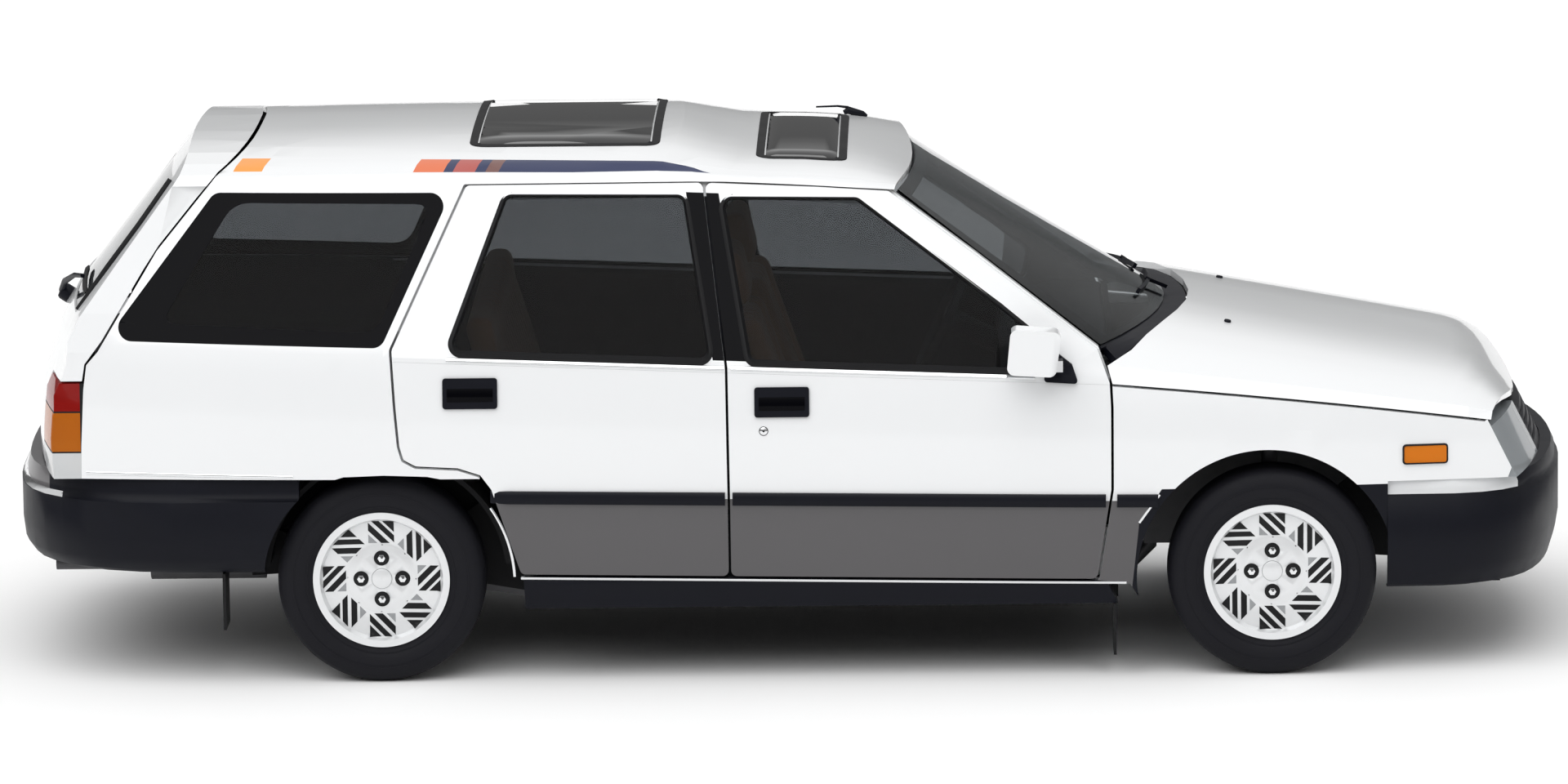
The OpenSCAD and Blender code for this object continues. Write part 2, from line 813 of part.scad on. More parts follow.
seat_y = 350;
floor_top = sill_z + floor_t;
module front_seat_right() {
    x = xf - 1290;
    color("saddlebrown")
        translate([x, 0, 0]) {
            across(-seat_y - 225, -seat_y + 225, 30)
                polygon([[60, 330], [520, 350], [520, 460], [500, 480], [80, 450], [-60, 850],
                    [-85, 930], [-190, 930], [-90, 520], [-20, 350]]);
            across(-seat_y - 135, -seat_y + 135, 25)
                polygon([[-95, 965], [-170, 960], [-210, 1100], [-130, 1110]]);
            for (y = [-seat_y - 60, -seat_y + 50])
                translate([-135, y, 915])
                    cylinder(r = 7, h = 70);
            for (y = [-seat_y - 220, -seat_y + 190])
                translate([30, y, floor_top])
                    cube([440, 30, 120]);
        }
}

module rear_seat() {
    x = xr + 430;
    color("saddlebrown")
        across(-600, 600, 30)
            polygon([[x - 50, 450], [x + 320, 450], [x + 350, 470], [x + 350, 560],
                [x + 320, 590], [x - 20, 560], [x - 120, 880], [x - 130, 960], [x - 210, 960],
                [x - 110, 560]]);
}

column_tilt = 25;
column_at = [xf - 870, seat_y, 790];
module dashboard() {
    face = xf - 428;
    color("darkslategray") {
        across(-660, 660, 12)
            polygon([[face, 600], [face, 838], [face - 140, 845], [face - 290, 790],
                [face - 300, 650], [face - 210, 560], [face - 60, 540]]);
        translate(column_at)
            rotate([0, column_tilt - 90, 0])
                translate([0, 0, -230])
                    cylinder(r = 32, h = 230 - 60 - seal_gap);
    }
}

module steering_wheel() {
    color("black")
        translate(column_at)
            rotate([0, column_tilt - 90, 0]) {
                rotate_extrude()
                    translate([wheel_r - 13, 0])
                        circle(r = 13, $fn = 24);
                translate([0, 0, -60])
                    cylinder(r = 34, h = 55);
                for (a = [0, 90, -90])
                    rotate(a + 180)
                        translate([20, -16, -22])
                            cube([wheel_r - 38, 32, 16]);
            }
}

// Straight bar between two points
module bar(a, b, r) {
    d = b - a;
    translate(a)
        rotate([0, acos(d[2] / norm(d)), atan2(d[1], d[0])])
            cylinder(r = r, h = norm(d), $fn = 24);
}

// Front suspension: cross-member, lower arms and struts; the knuckles turn between them
king_y = track_f / 2 - 45;
arm_z = 205;
strut_top = 270 + sqrt(pow(arch_r + 5, 2) - 42 * 42) - 0.6;
module front_suspension() {
    color("dimgray") {
        translate([xf - 60, -330, 190])
            cube([120, 660, 72]);
        both() {
            translate([xf - 30, -king_y + 4, arm_z - 25])
                cube([60, king_y - 329, 25]);
            translate([xf, -king_y + 95, 350])
                cylinder(r = 22, h = strut_top - 350);
        }
    }
}

module knuckle_right() {
    color("gray") {
        translate([xf - 32, -king_y - 20, arm_z + seal_gap])
            cube([64, 60, 130]);
        translate([xf - 25, -king_y - 20, hub_z])
            cube([50, 140, 350 - hub_z - seal_gap]);
        translate([xf, -king_y - 20, hub_z])
            rotate([90, 0, 0])
                cylinder(r = 110, h = 22);
        translate([xf, -king_y, hub_z])
            rotate([90, 0, 0])
                cylinder(r = spindle_r, h = 88);
    }
}

module rear_axle() {
    color("dimgray") {
        translate([xr, 600, hub_z])
            rotate([90, 0, 0])
                cylinder(r = 30, h = 1200);
        both() {
            translate([xr, -590, hub_z])
                rotate([90, 0, 0])
                    cylinder(r = spindle_r, h = 140);
            translate([xr, -598, hub_z])
                rotate([90, 0, 0])
                    cylinder(r = 110, h = 22);
            translate([xr, -500, hub_z])
                cylinder(r = 28, h = load_z - hub_z);
            hull() {
                translate([xr - 35, -470, hub_z - 40])
                    cube([70, 40, 80]);
                translate([xr + 500, -470, sill_z - 45])
                    cube([60, 40, 40]);
            }
        }
    }
}

module fuel_tank() {
    color("dimgray")
        across(-360, 360, 25)
            polygon([[xr - 625, 260], [xr - 600, 228], [xr - 380, 228], [xr - 340, 330],
                [xr - 340, load_z], [xr - 625, load_z]]);
}

// Bent pipe as one closed skin of mitred rings
module bent_pipe(path, r) {
    n = 12;
    last = len(path) - 1;
    along = [for (i = [0 : last]) let (d = path[min(i + 1, last)] - path[max(i - 1, 0)]) d / norm(d)];
    points = [for (i = [0 : last], k = [0 : n - 1])
        let (w = cross([0, 1, 0], along[i]), u = w / norm(w), v = cross(along[i], u))
        path[i] + r * (u * cos(k * 360 / n) + v * sin(k * 360 / n))];
    walls = [for (i = [0 : last - 1], k = [0 : n - 1], half = [0, 1])
        let (a = i * n + k, b = i * n + (k + 1) % n)
        half == 0 ? [a, a + n, b + n] : [a, b + n, b]];
    ends = [[for (k = [0 : n - 1]) k], [for (k = [n - 1 : -1 : 0]) last * n + k]];
    polyhedron(points, concat(walls, ends));
}

module exhaust() {
    y = load_half - 95;
    pipe = [[xf - 310, -60, 261.7], [xf - 310, -60, 225], [xf - 350, -60, 179.5], [xr + 480, -20, 179.5],
        [xr + 200, -250, 190], [xr - 200, 10 - y, 215], [xr - 300, -y, 285], [xr - 345, -y, 290]];
    color("darkgray") {
        bent_pipe(pipe, 20);
        bar([xr - 330, -y, 290], [xr - 640, -y, 290], 62);
        bar([xr - 630, -y, 276], [tail_x + 110, -y, 276], 20);
    }
}

module mud_flaps() {
    color("black")
        both() {
            translate([xr - 425, -760, 146])
                cube([8, 130, 153.7]);
            translate([xf - 425, -775, 60])
                cube([8, 120, sill_z - 60]);
        }
}

// Handles on all doors, mirrors on the front ones
module skin_plate(x, z, w, h, proud, round) {
    intersection() {
        side_slab(x - 10, x + w + 10, 4, z - 10, z + h + 10, 4, 0, [-proud, -proud], [-plate_gap, -plate_gap]);
        side_cut(0, round)
            translate([x, z])
                square([w, h]);
    }
}

module fittings_front_right() {
    x = xf - 706;
    color("black") {
        skin_plate(b_x + 71, 720, 146, 79, 6, 8);
        intersection() {
            side_slab(x + 70, x + 210, 4, 780, 920, 2, 3, [-12, -12], [-plate_gap, -plate_gap]);
            side_cut(0, 8)
                polygon([[x + 100, 806], [x + 192, 800], [x + 175, 850], [x + 110, 900]]);
        }
        translate([x + 110, -835, 838])
            cube([40, 50, 30]);
        translate([0, -825, 0])
            rotate([90, 0, 0])
                linear_extrude(75)
                    offset(r = 20)
                        offset(delta = -20)
                            polygon([[x, 842], [x + 130, 835], [x + 147, 955], [x + 12, 965]]);
    }
}

module fittings_rear_right() {
    color("black")
        skin_plate(xr + 175, 750, 146, 81, 6, 8);
}

// Tyre and rim about the wheel's axis, outer face towards +Z
module tyre() {
    half = tyre_w / 2;
    color("black")
        rotate_extrude($fn = 96)
            polygon([[rim_r, -half + 16], [rim_r + 18, -half + 15.5], [rim_r + 50, -half + 2],
                [rim_r + 75, -half], [tyre_r - 14, -half + 10], [tyre_r - 2, -half + 27],
                [tyre_r, -half + 52], [tyre_r, half - 52], [tyre_r - 2, half - 27],
                [tyre_r - 14, half - 10], [rim_r + 75, half], [rim_r + 50, half - 2],
                [rim_r + 18, half - 15.5], [rim_r, half - 16]]);
}

slot_rows = 8;
module rim() {
    f = tyre_w / 2 - 15;
    color("silver")
        difference() {
            rotate_extrude($fn = 96)
                polygon([[spindle_r + run_gap, 15], [72, 15], [72, 33], [100, 30], [152, 38],
                    [152, -f - 5], [rim_r + 18, -f - 5], [rim_r + 18, -f], [rim_r, -f],
                    [rim_r, f], [rim_r + 18, f], [rim_r + 18, f + 5], [rim_r, f + 5],
                    [158, 52], [100, 44], [72, 50], [spindle_r + run_gap, 50]]);
            for (i = [0 : slot_rows - 1])
                rotate(i * 360 / slot_rows)
                    translate([122, 0, 20])
                        rotate(i % 2 == 0 ? 45 : -45)
                            for (k = [-1 : 1])
                                translate([-25, k * 17 - 4.5, 0])
                                    cube([50, 9, 60]);
            for (i = [0 : 3])
                rotate(i * 90)
                    translate([57, 0, 38])
                        cylinder(r = 12, h = 30, $fn = 24);
        }
}

// Right-hand wheels face -Y, left-hand wheels +Y
module at_wheel(x, track, side) {
    translate([x, side * track / 2, hub_z])
        rotate([side < 0 ? 90 : -90, 0, 0])
            children();
}

floor_pan();
front_structure();
body_side_right();
left() body_side_right();  // body_side_left
roof_panel();
sunroof_glass();
windscreen();
windscreen_frame();
wipers();
fender_right();
left() fender_right();  // fender_left
front_bumper();
grille();
front_lamps();
rear_bumper();
rear_lamps();
quarter_glass();
front_seat_right();
left() front_seat_right();  // front_seat_left
rear_seat();
dashboard();
engine();
front_suspension();
rear_axle();
fuel_tank();
exhaust();
mud_flaps();
bonnet();
tailgate();
tailgate_glass();
door_front_right();
left() door_front_right();  // door_front_left
door_rear_right();
left() door_rear_right();  // door_rear_left
glass_front_right();
left() glass_front_right();  // glass_front_left
glass_rear_right();
left() glass_rear_right();  // glass_rear_left
fittings_front_right();
left() fittings_front_right();  // fittings_front_left
fittings_rear_right();
left() fittings_rear_right();  // fittings_rear_left
steering_wheel();
knuckle_right();
left() knuckle_right();  // knuckle_left
at_wheel(xf, track_f, -1) tyre();  // tyre_front_right
at_wheel(xf, track_f, 1) tyre();  // tyre_front_left
at_wheel(xr, track_r, -1) tyre();  // tyre_rear_right
at_wheel(xr, track_r, 1) tyre();  // tyre_rear_left
at_wheel(xf, track_f, -1) rim();  // rim_front_right
at_wheel(xf, track_f, 1) rim();  // rim_front_left
at_wheel(xr, track_r, -1) rim();  // rim_rear_right
at_wheel(xr, track_r, 1) rim();  // rim_rear_left
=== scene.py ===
"""Looks of the five-door station wagon: finishes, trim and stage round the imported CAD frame."""
import json
import math

import bmesh
import bpy
from mathutils import Matrix, Vector
from mathutils.bvhtree import BVHTree
from mathutils.geometry import convex_hull_2d

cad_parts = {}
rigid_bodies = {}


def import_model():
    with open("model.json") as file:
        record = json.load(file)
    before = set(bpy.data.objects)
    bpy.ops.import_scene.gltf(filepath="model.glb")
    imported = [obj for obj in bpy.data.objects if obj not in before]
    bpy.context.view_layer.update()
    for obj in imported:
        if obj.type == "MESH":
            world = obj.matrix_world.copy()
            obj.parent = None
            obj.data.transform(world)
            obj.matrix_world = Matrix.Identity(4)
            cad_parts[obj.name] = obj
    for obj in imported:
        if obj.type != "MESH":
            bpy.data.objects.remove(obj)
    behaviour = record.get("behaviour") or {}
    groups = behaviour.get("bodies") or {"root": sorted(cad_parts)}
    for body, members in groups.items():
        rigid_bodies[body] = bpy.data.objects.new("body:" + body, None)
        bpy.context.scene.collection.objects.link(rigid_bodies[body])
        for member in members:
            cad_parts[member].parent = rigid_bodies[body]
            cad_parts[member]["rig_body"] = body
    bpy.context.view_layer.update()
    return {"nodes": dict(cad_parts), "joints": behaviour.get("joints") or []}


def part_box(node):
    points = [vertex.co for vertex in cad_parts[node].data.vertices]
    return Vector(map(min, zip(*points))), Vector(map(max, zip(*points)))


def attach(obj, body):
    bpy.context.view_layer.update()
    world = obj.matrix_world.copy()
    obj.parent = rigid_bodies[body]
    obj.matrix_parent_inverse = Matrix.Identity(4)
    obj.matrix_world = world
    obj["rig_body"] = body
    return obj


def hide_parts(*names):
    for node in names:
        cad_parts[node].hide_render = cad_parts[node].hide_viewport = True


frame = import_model()
NODES = frame["nodes"]
JOINTS = {j["name"]: j for j in frame["joints"]}
SIDES = {"right": -1, "left": 1}
ENDS = ("front", "rear")
FRONT_X = JOINTS["wheel_front_right_spin"]["pos_m"][0]
REAR_X = JOINTS["wheel_rear_right_spin"]["pos_m"][0]
HUB_Z = 0.279  # height of the wheel centres
SIDE_VIEW, PLAN_VIEW = (0, 2), (0, 1)  # axes in which an outline is given
DOWN, TO_LEFT = Vector((0, 0, -1)), Vector((0, 1, 0))
ABOVE_ROOF, BESIDE_RIGHT = 2.0, -1.5  # where rays down and rays to the left start


# Materials

MIX_A, MIX_B, MIX_RESULT = 6, 7, 2  # colour sockets of the Mix node
ROUGH_DRIFT = 0.15
COAT_ROUGHNESS = 0.04
BUMP_HEIGHT = 0.001
PANE_IOR = 1.15  # low, so that thick CAD panes bend the view as little as thin glass does


def shader(name, colour, rough, metal=0.0, coat=0.0, sheen=0.0, shine=0.5, vary=0.05, scale=12.0,
           bump=0.0, bump_scale=300.0):
    """Principled material whose colour and roughness drift with noise, with an optional fine bump."""
    mat = bpy.data.materials.new(name)
    mat.use_nodes = True
    tree = mat.node_tree
    bsdf = tree.nodes["Principled BSDF"]
    coords = tree.nodes.new("ShaderNodeTexCoord")
    noise = tree.nodes.new("ShaderNodeTexNoise")
    noise.inputs["Scale"].default_value = scale
    noise.inputs["Detail"].default_value = 5.0
    tree.links.new(coords.outputs["Object"], noise.inputs["Vector"])
    mix = tree.nodes.new("ShaderNodeMix")
    mix.data_type = "RGBA"
    mix.inputs[MIX_A].default_value = [min(1.0, c * (1 - vary)) for c in colour] + [1.0]
    mix.inputs[MIX_B].default_value = [min(1.0, c * (1 + vary)) for c in colour] + [1.0]
    tree.links.new(noise.outputs["Fac"], mix.inputs[0])
    tree.links.new(mix.outputs[MIX_RESULT], bsdf.inputs["Base Color"])
    span = tree.nodes.new("ShaderNodeMapRange")
    span.inputs["To Min"].default_value = rough * (1 - ROUGH_DRIFT)
    span.inputs["To Max"].default_value = min(1.0, rough * (1 + ROUGH_DRIFT))
    tree.links.new(noise.outputs["Fac"], span.inputs["Value"])
    tree.links.new(span.outputs["Result"], bsdf.inputs["Roughness"])
    bsdf.inputs["Metallic"].default_value = metal
    bsdf.inputs["Coat Weight"].default_value = coat
    bsdf.inputs["Coat Roughness"].default_value = COAT_ROUGHNESS
    bsdf.inputs["Sheen Weight"].default_value = sheen
    bsdf.inputs["Specular IOR Level"].default_value = shine
    if bump:
        grain = tree.nodes.new("ShaderNodeTexNoise")
        grain.inputs["Scale"].default_value = bump_scale
        grain.inputs["Detail"].default_value = 3.0
        tree.links.new(coords.outputs["Object"], grain.inputs["Vector"])
        relief = tree.nodes.new("ShaderNodeBump")
        relief.inputs["Strength"].default_value = bump
        relief.inputs["Distance"].default_value = BUMP_HEIGHT
        tree.links.new(grain.outputs["Fac"], relief.inputs["Height"])
        tree.links.new(relief.outputs["Normal"], bsdf.inputs["Normal"])
    return mat


def clear(name, tint, rough=0.0, weight=1.0):
    """Tinted transparent material for glass and lenses."""
    mat = shader(name, tint, rough, vary=0.03, scale=6.0)
    bsdf = mat.node_tree.nodes["Principled BSDF"]
    bsdf.inputs["Transmission Weight"].default_value = weight
    bsdf.inputs["IOR"].default_value = PANE_IOR
    return mat


PAINT = shader("white_paint", (0.84, 0.85, 0.86), 0.22, coat=0.6, vary=0.012, scale=2.0)
GREY = shader("grey_paint", (0.082, 0.078, 0.082), 0.35, coat=0.25, vary=0.05, scale=3.0)
TRIM = shader("black_trim", (0.0035, 0.004, 0.008), 0.45, shine=0.16, vary=0.2, bump=0.1, bump_scale=900.0)
GLOSS = shader("gloss_black", (0.002, 0.002, 0.003), 0.06, shine=0.06, vary=0.1)
RUBBER = shader("rubber_seal", (0.006, 0.006, 0.007), 0.6, shine=0.25, vary=0.2)
CHROME = shader("bright_strip", (0.80, 0.81, 0.82), 0.12, metal=1.0, vary=0.04, scale=40.0)
SILVER = shader("silver_ledge", (0.74, 0.75, 0.76), 0.3, metal=0.1, coat=0.3, vary=0.04, scale=20.0)
DARK = shader("underbody", (0.010, 0.010, 0.011), 0.8, shine=0.2, vary=0.35, scale=9.0,
              bump=0.3, bump_scale=120.0)
STEEL = shader("dull_steel", (0.10, 0.10, 0.105), 0.55, metal=0.7, vary=0.25, scale=25.0, bump=0.1)
TYRE = shader("tyre_rubber", (0.006, 0.006, 0.009), 0.62, shine=0.2, vary=0.2, scale=30.0,
              bump=0.1, bump_scale=500.0)
ALLOY = shader("alloy_silver", (0.80, 0.81, 0.82), 0.3, metal=0.25, coat=0.4, vary=0.02, scale=60.0)
CLOTH = shader("brown_cloth", (0.40, 0.235, 0.145), 0.9, sheen=0.4, vary=0.25, scale=180.0,
               bump=0.5, bump_scale=900.0)
INNER = shader("cabin_plastic", (0.030, 0.030, 0.034), 0.6, vary=0.15, bump=0.2, bump_scale=600.0)
GLASS = clear("window_glass", (0.235, 0.245, 0.255))
SCREEN = clear("screen_glass", (0.26, 0.28, 0.29))
MIRROR = shader("mirror_glass", (0.60, 0.62, 0.64), 0.02, metal=1.0, vary=0.02)
LINING = shader("roof_lining", (0.20, 0.18, 0.165), 0.9, sheen=0.2, vary=0.1, scale=60.0,
                bump=0.3, bump_scale=700.0)
INLAY = shader("wheel_inlay_black", (0.006, 0.006, 0.007), 0.4, shine=0.25, vary=0.2, scale=80.0)
INLAY_GREY = shader("wheel_inlay_grey", (0.33, 0.34, 0.35), 0.5, metal=0.3, vary=0.15, scale=160.0,
                    bump=0.2, bump_scale=900.0)
SMOKED = shader("smoked_roof_glass", (0.003, 0.003, 0.004), 0.03, coat=1.0, shine=0.8, vary=0.1)
RED = clear("red_lens", (0.30, 0.012, 0.010), 0.12, 0.3)
DEEP_AMBER = clear("rear_amber_lens", (0.56, 0.15, 0.012), 0.12, 0.3)
AMBER = clear("amber_lens", (0.80, 0.24, 0.02), 0.12, 0.3)
LENS = clear("clear_lens", (0.50, 0.53, 0.55), 0.05, 0.5)
WHITE_LENS = clear("white_lens", (0.80, 0.82, 0.83), 0.08, 0.3)
ORANGE = shader("stripe_orange", (0.90, 0.33, 0.04), 0.3, coat=0.4, vary=0.04)
CORAL = shader("stripe_coral", (0.75, 0.17, 0.06), 0.3, coat=0.4, vary=0.04)
RUST = shader("stripe_rust", (0.45, 0.085, 0.07), 0.3, coat=0.4, vary=0.04)
BROWN = shader("stripe_brown", (0.17, 0.07, 0.06), 0.3, coat=0.4, vary=0.04)
NAVY = shader("stripe_navy", (0.010, 0.020, 0.085), 0.3, coat=0.3, vary=0.05)


# Making pieces

def link(name, mesh, body, replaces=None):
    """Adds a mesh as a piece that rides on a body, and may stand for a CAD node."""
    piece = bpy.data.objects.new(name, mesh)
    bpy.context.scene.collection.objects.link(piece)
    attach(piece, body)
    if replaces:
        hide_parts(replaces)
    return piece


def smooth(mesh, angle=26.0):
    """Rounds the shading, apart from edges sharper than the angle in degrees."""
    mesh.shade_smooth()
    mesh.set_sharp_from_angle(angle=math.radians(angle))


def new_mesh(name, verts, faces, material, angle=30.0):
    """Mesh in one material, with its normals made to agree."""
    mesh = bpy.data.meshes.new(name)
    mesh.from_pydata([tuple(v) for v in verts], [], faces)
    bm = bmesh.new()
    bm.from_mesh(mesh)
    bmesh.ops.recalc_face_normals(bm, faces=bm.faces)
    bm.to_mesh(mesh)
    bm.free()
    mesh.materials.append(material)
    smooth(mesh, angle)
    return mesh


def inside(point, outline):
    """True if a flat point lies inside an outline."""
    x, y = point
    hit = False
    for (ax, ay), (bx, by) in zip(outline, outline[1:] + outline[:1]):
        if (ay > y) != (by > y) and x < (bx - ax) * (y - ay) / (by - ay) + ax:
            hit = not hit
    return hit


def paint_zone(bm, outline, axes, pick, index):
    """Cuts the picked faces along a convex outline seen along one axis, and gives those inside a material."""
    for (ax, ay), (bx, by) in zip(outline, outline[1:] + outline[:1]):
        normal = Vector((0, 0, 0))
        normal[axes[0]], normal[axes[1]] = by - ay, ax - bx
        if normal.length < 1e-7:
            continue
        place = Vector((0, 0, 0))
        place[axes[0]], place[axes[1]] = ax, ay
        faces = [f for f in bm.faces if pick(f)]
        geom = list({v for f in faces for v in f.verts}) + list({e for f in faces for e in f.edges}) + faces
        bmesh.ops.bisect_plane(bm, geom=geom, dist=1e-5, plane_co=place, plane_no=normal.normalized())
    for f in bm.faces:
        c = f.calc_center_median()
        if pick(f) and inside((c[axes[0]], c[axes[1]]), outline):
            f.material_index = index


def skin(node, materials, zones=(), angle=26.0):
    """Smooth-shaded copy of a CAD panel, painted in zones: (outline, axes, pick, material number)."""
    mesh = NODES[node].data.copy()
    mesh.name = node + "_skin"
    bm = bmesh.new()
    bm.from_mesh(mesh)
    bmesh.ops.remove_doubles(bm, verts=bm.verts, dist=2e-5)
    bmesh.ops.dissolve_limit(bm, angle_limit=math.radians(0.05), verts=bm.verts, edges=bm.edges)
    bm.normal_update()
    for f in bm.faces:
        f.material_index = 0
    for outline, axes, pick, index in zones:
        paint_zone(bm, list(outline), axes, pick, index)
    bmesh.ops.triangulate(bm, faces=[f for f in bm.faces if len(f.verts) > 4])
    mesh.materials.clear()
    for m in materials:
        mesh.materials.append(m)
    bm.to_mesh(mesh)
    bm.free()
    smooth(mesh, angle)
    return link(node + "_skin", mesh, NODES[node]["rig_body"], node)


def rounded(points, radius, steps=4):
    """Outline with its corners rounded."""
    out = []
    for a, b, c in zip(points[-1:] + points[:-1], points, points[1:] + points[:1]):
        a, b, c = Vector(a), Vector(b), Vector(c)
        p = b + (a - b).normalized() * radius
        q = b + (c - b).normalized() * radius
        for k in range(steps + 1):
            t = k / steps
            out.append(tuple((1 - t) ** 2 * p + 2 * t * (1 - t) * b + t * t * q))
    return out


def outward(side, least=0.25):
    """Picks the faces that look out of one side of the car."""
    return lambda f: f.normal.y * side > least


def inward(side, least=0.25):
    """Picks the faces that look into the cabin from one side."""
    return lambda f: f.normal.y * side < -least


def surface(*nodes):
    """Search tree over the faces of CAD nodes."""
    verts, faces = [], []
    for n in nodes:
        mesh = NODES[n].data
        base = len(verts)
        verts += [v.co.copy() for v in mesh.vertices]
        faces += [[base + i for i in p.vertices] for p in mesh.polygons]
    return BVHTree.FromPolygons(verts, faces)


PANEL_Y = -0.8  # about where the right-hand panels are


class Side:
    """Finds the outer skin of the right-hand side by rays against CAD nodes."""

    def __init__(self, *nodes):
        self.tree = surface(*nodes)

    def y(self, x, z):
        """Place of the skin across the car, negative on the right."""
        hit = self.tree.ray_cast(Vector((x, BESIDE_RIGHT, z)), TO_LEFT)[0]
        if hit is None:
            hit = self.tree.find_nearest(Vector((x, PANEL_Y, z)))[0]
        return hit.y


SKIN = Side("door_front_right", "door_rear_right", "fender_right", "body_side_right",
            "rear_bumper", "front_bumper")
# Section of a moulding, as (across, out) in parts of its half height and of how far it stands out
PROFILE = ((-1, 0.0), (-0.92, 0.7), (-0.6, 1.0), (0.6, 1.0), (0.92, 0.7), (1, 0.0))


def strip(name, path, height, proud, material, body, sunk=0.002, on=SKIN):
    """Moulding on each side that follows a skin along (x, z) points; body may hold {side}."""
    for side, s in SIDES.items():
        verts, faces = [], []
        for i, (x, z) in enumerate(path):
            along = (Vector(path[min(i + 1, len(path) - 1)]) - Vector(path[max(i - 1, 0)])).normalized()
            for t, out in PROFILE:
                xx, zz = x - along.y * t * height / 2, z + along.x * t * height / 2
                verts.append((xx, ((out * proud - sunk) - on.y(xx, zz)) * s, zz))
        n = len(PROFILE)
        for i in range(len(path) - 1):
            for k in range(n - 1):
                a = i * n + k
                faces.append((a, a + 1, a + n + 1, a + n))
            faces.append((i * n, (i + 1) * n, (i + 2) * n - 1, (i + 1) * n - 1))
        faces.append(tuple(range(n)))
        faces.append(tuple(range(len(verts) - n, len(verts))))
        piece = f"{name}_{side}"
        link(piece, new_mesh(piece, verts, faces, material, 40.0), body.format(side=side))


def line(a, b, n=14):
    """Evenly spaced points between two flat points."""
    return [(a[0] + (b[0] - a[0]) * i / n, a[1] + (b[1] - a[1]) * i / n) for i in range(n + 1)]


def glass_outline(node):
    """Side-view outline of a pane, from its CAD mesh."""
    pts = [(v.co.x, v.co.z) for v in NODES[node].data.vertices]
    return [pts[i] for i in convex_hull_2d(pts)]


def grown(outline, by):
    """Convex outline moved out along its own normals, anticlockwise points."""
    out = []
    n = len(outline)
    for i in range(n):
        a, b, c = Vector(outline[i - 1]), Vector(outline[i]), Vector(outline[(i + 1) % n])
        u, v = (b - a).normalized(), (c - b).normalized()
        m = Vector((u.y + v.y, -u.x - v.x)).normalized()
        out.append(tuple(b + m * by / max(0.5, m.dot(Vector((u.y, -u.x))))))
    return out


def band_faces(n, loops):
    """Faces between closed loops of n points each, one loop after the other."""
    return [(r * n + i, r * n + (i + 1) % n, (r + 1) * n + (i + 1) % n, (r + 1) * n + i)
            for r in range(loops - 1) for i in range(n)]


def seal(name, outline, inner, outer, proud, material, body):
    """Frame round a pane on each side, between two offsets of its outline."""
    loops = [grown(outline, by) for by in (inner, (inner * 2 + outer) / 3, (inner + outer * 2) / 3, outer)]
    lift = (-0.012, proud, proud, -0.004)
    n = len(outline)
    cx, cz = (sum(p[k] for p in loops[-1]) / n for k in (0, 1))
    for side, s in SIDES.items():
        verts = []
        for loop, up in zip(loops, lift):
            for x, z in loop:
                y = SKIN.y(*near_frame(x, z, loops[-1], cx, cz))
                verts.append((x, s * (-y + up), z))
        piece = f"{name}_{side}"
        mesh = new_mesh(piece, verts, band_faces(n, len(loops)), material, 50.0)
        link(piece, mesh, body.format(side=side))


def near_frame(x, z, loop, cx, cz, past=0.004):
    """Nearest point of a loop, moved a little away from its middle to where the panel's skin is."""
    bx, bz = min(loop, key=lambda p: (p[0] - x) ** 2 + (p[1] - z) ** 2)
    d = math.hypot(bx - cx, bz - cz)
    return bx + (bx - cx) / d * past, bz + (bz - cz) / d * past


def middle_of(node):
    """Middle of a CAD node's box."""
    low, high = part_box(node)
    return (low + high) / 2


# Relief of a seat in metres, the width of a seam and the distance of the sewn channels
CROWN, BOLSTER, SEAM, GROOVE = 0.006, 0.014, 0.009, 0.006
SEAM_WIDTH, CHANNEL_PITCH = 0.006, 0.062
SEAT_GRID = 0.009
SINGLE_SEAT = 0.4  # half width under which a seat has bolsters


def padded_seat(node, middle, half, floor):
    """Crowned, sewn seat made from a CAD seat: softened edges, raised bolsters and pulled-in channels."""
    rough = bpy.data.objects.new("rough", NODES[node].data.copy())
    bpy.context.scene.collection.objects.link(rough)
    grid = rough.modifiers.new("grid", "REMESH")
    grid.mode, grid.voxel_size = "VOXEL", SEAT_GRID
    soften = rough.modifiers.new("soften", "SMOOTH")
    soften.factor, soften.iterations = 0.5, 10
    bpy.context.view_layer.update()
    mesh = bpy.data.meshes.new_from_object(rough.evaluated_get(bpy.context.evaluated_depsgraph_get()))
    bpy.data.objects.remove(rough)
    mesh.name = node + "_pad"
    panel = half * 0.66
    moves = []
    for v in mesh.vertices:
        across = abs(v.co.y - middle)
        facing = max(0.0, v.normal.x * 0.8 + v.normal.z * 0.6)
        if v.co.z < floor + 0.02 or facing < 0.1:
            moves.append(Vector())
            continue
        relief = CROWN * math.cos(min(1.0, across / half) * math.pi / 2)
        if half < SINGLE_SEAT:
            relief += BOLSTER * math.exp(-((across - half * 0.84) / (half * 0.11)) ** 2)
        relief -= SEAM * math.exp(-((across - panel) / SEAM_WIDTH) ** 2)
        if across < panel - 0.02:
            near = abs((v.co.y - middle + CHANNEL_PITCH / 2) % CHANNEL_PITCH - CHANNEL_PITCH / 2)
            relief -= GROOVE * math.exp(-(near / SEAM_WIDTH) ** 2)
        moves.append(v.normal * (facing * relief))
    for v, step in zip(mesh.vertices, moves):
        v.co += step
    mesh.materials.clear()
    mesh.materials.append(CLOTH)
    mesh.materials.append(INNER)
    for f in mesh.polygons:
        f.material_index = 1 if f.center.z < floor else 0
    mesh.shade_smooth()
    link(node + "_pad", mesh, NODES[node]["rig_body"], node)


# Panels in their colours

def rub_z(x):
    """Middle height of the rubbing strip along the doors."""
    return 0.4987 - 0.0155 * x


def sill_z(x):
    """Top of the sill, under the doors."""
    return 0.281 - 0.018 * x


def under(height, start, end):
    """Outline from a sloping line down to the ground, between two stations."""
    return [(start, height(start)), (end, height(end)), (end, 0.0), (start, 0.0)]


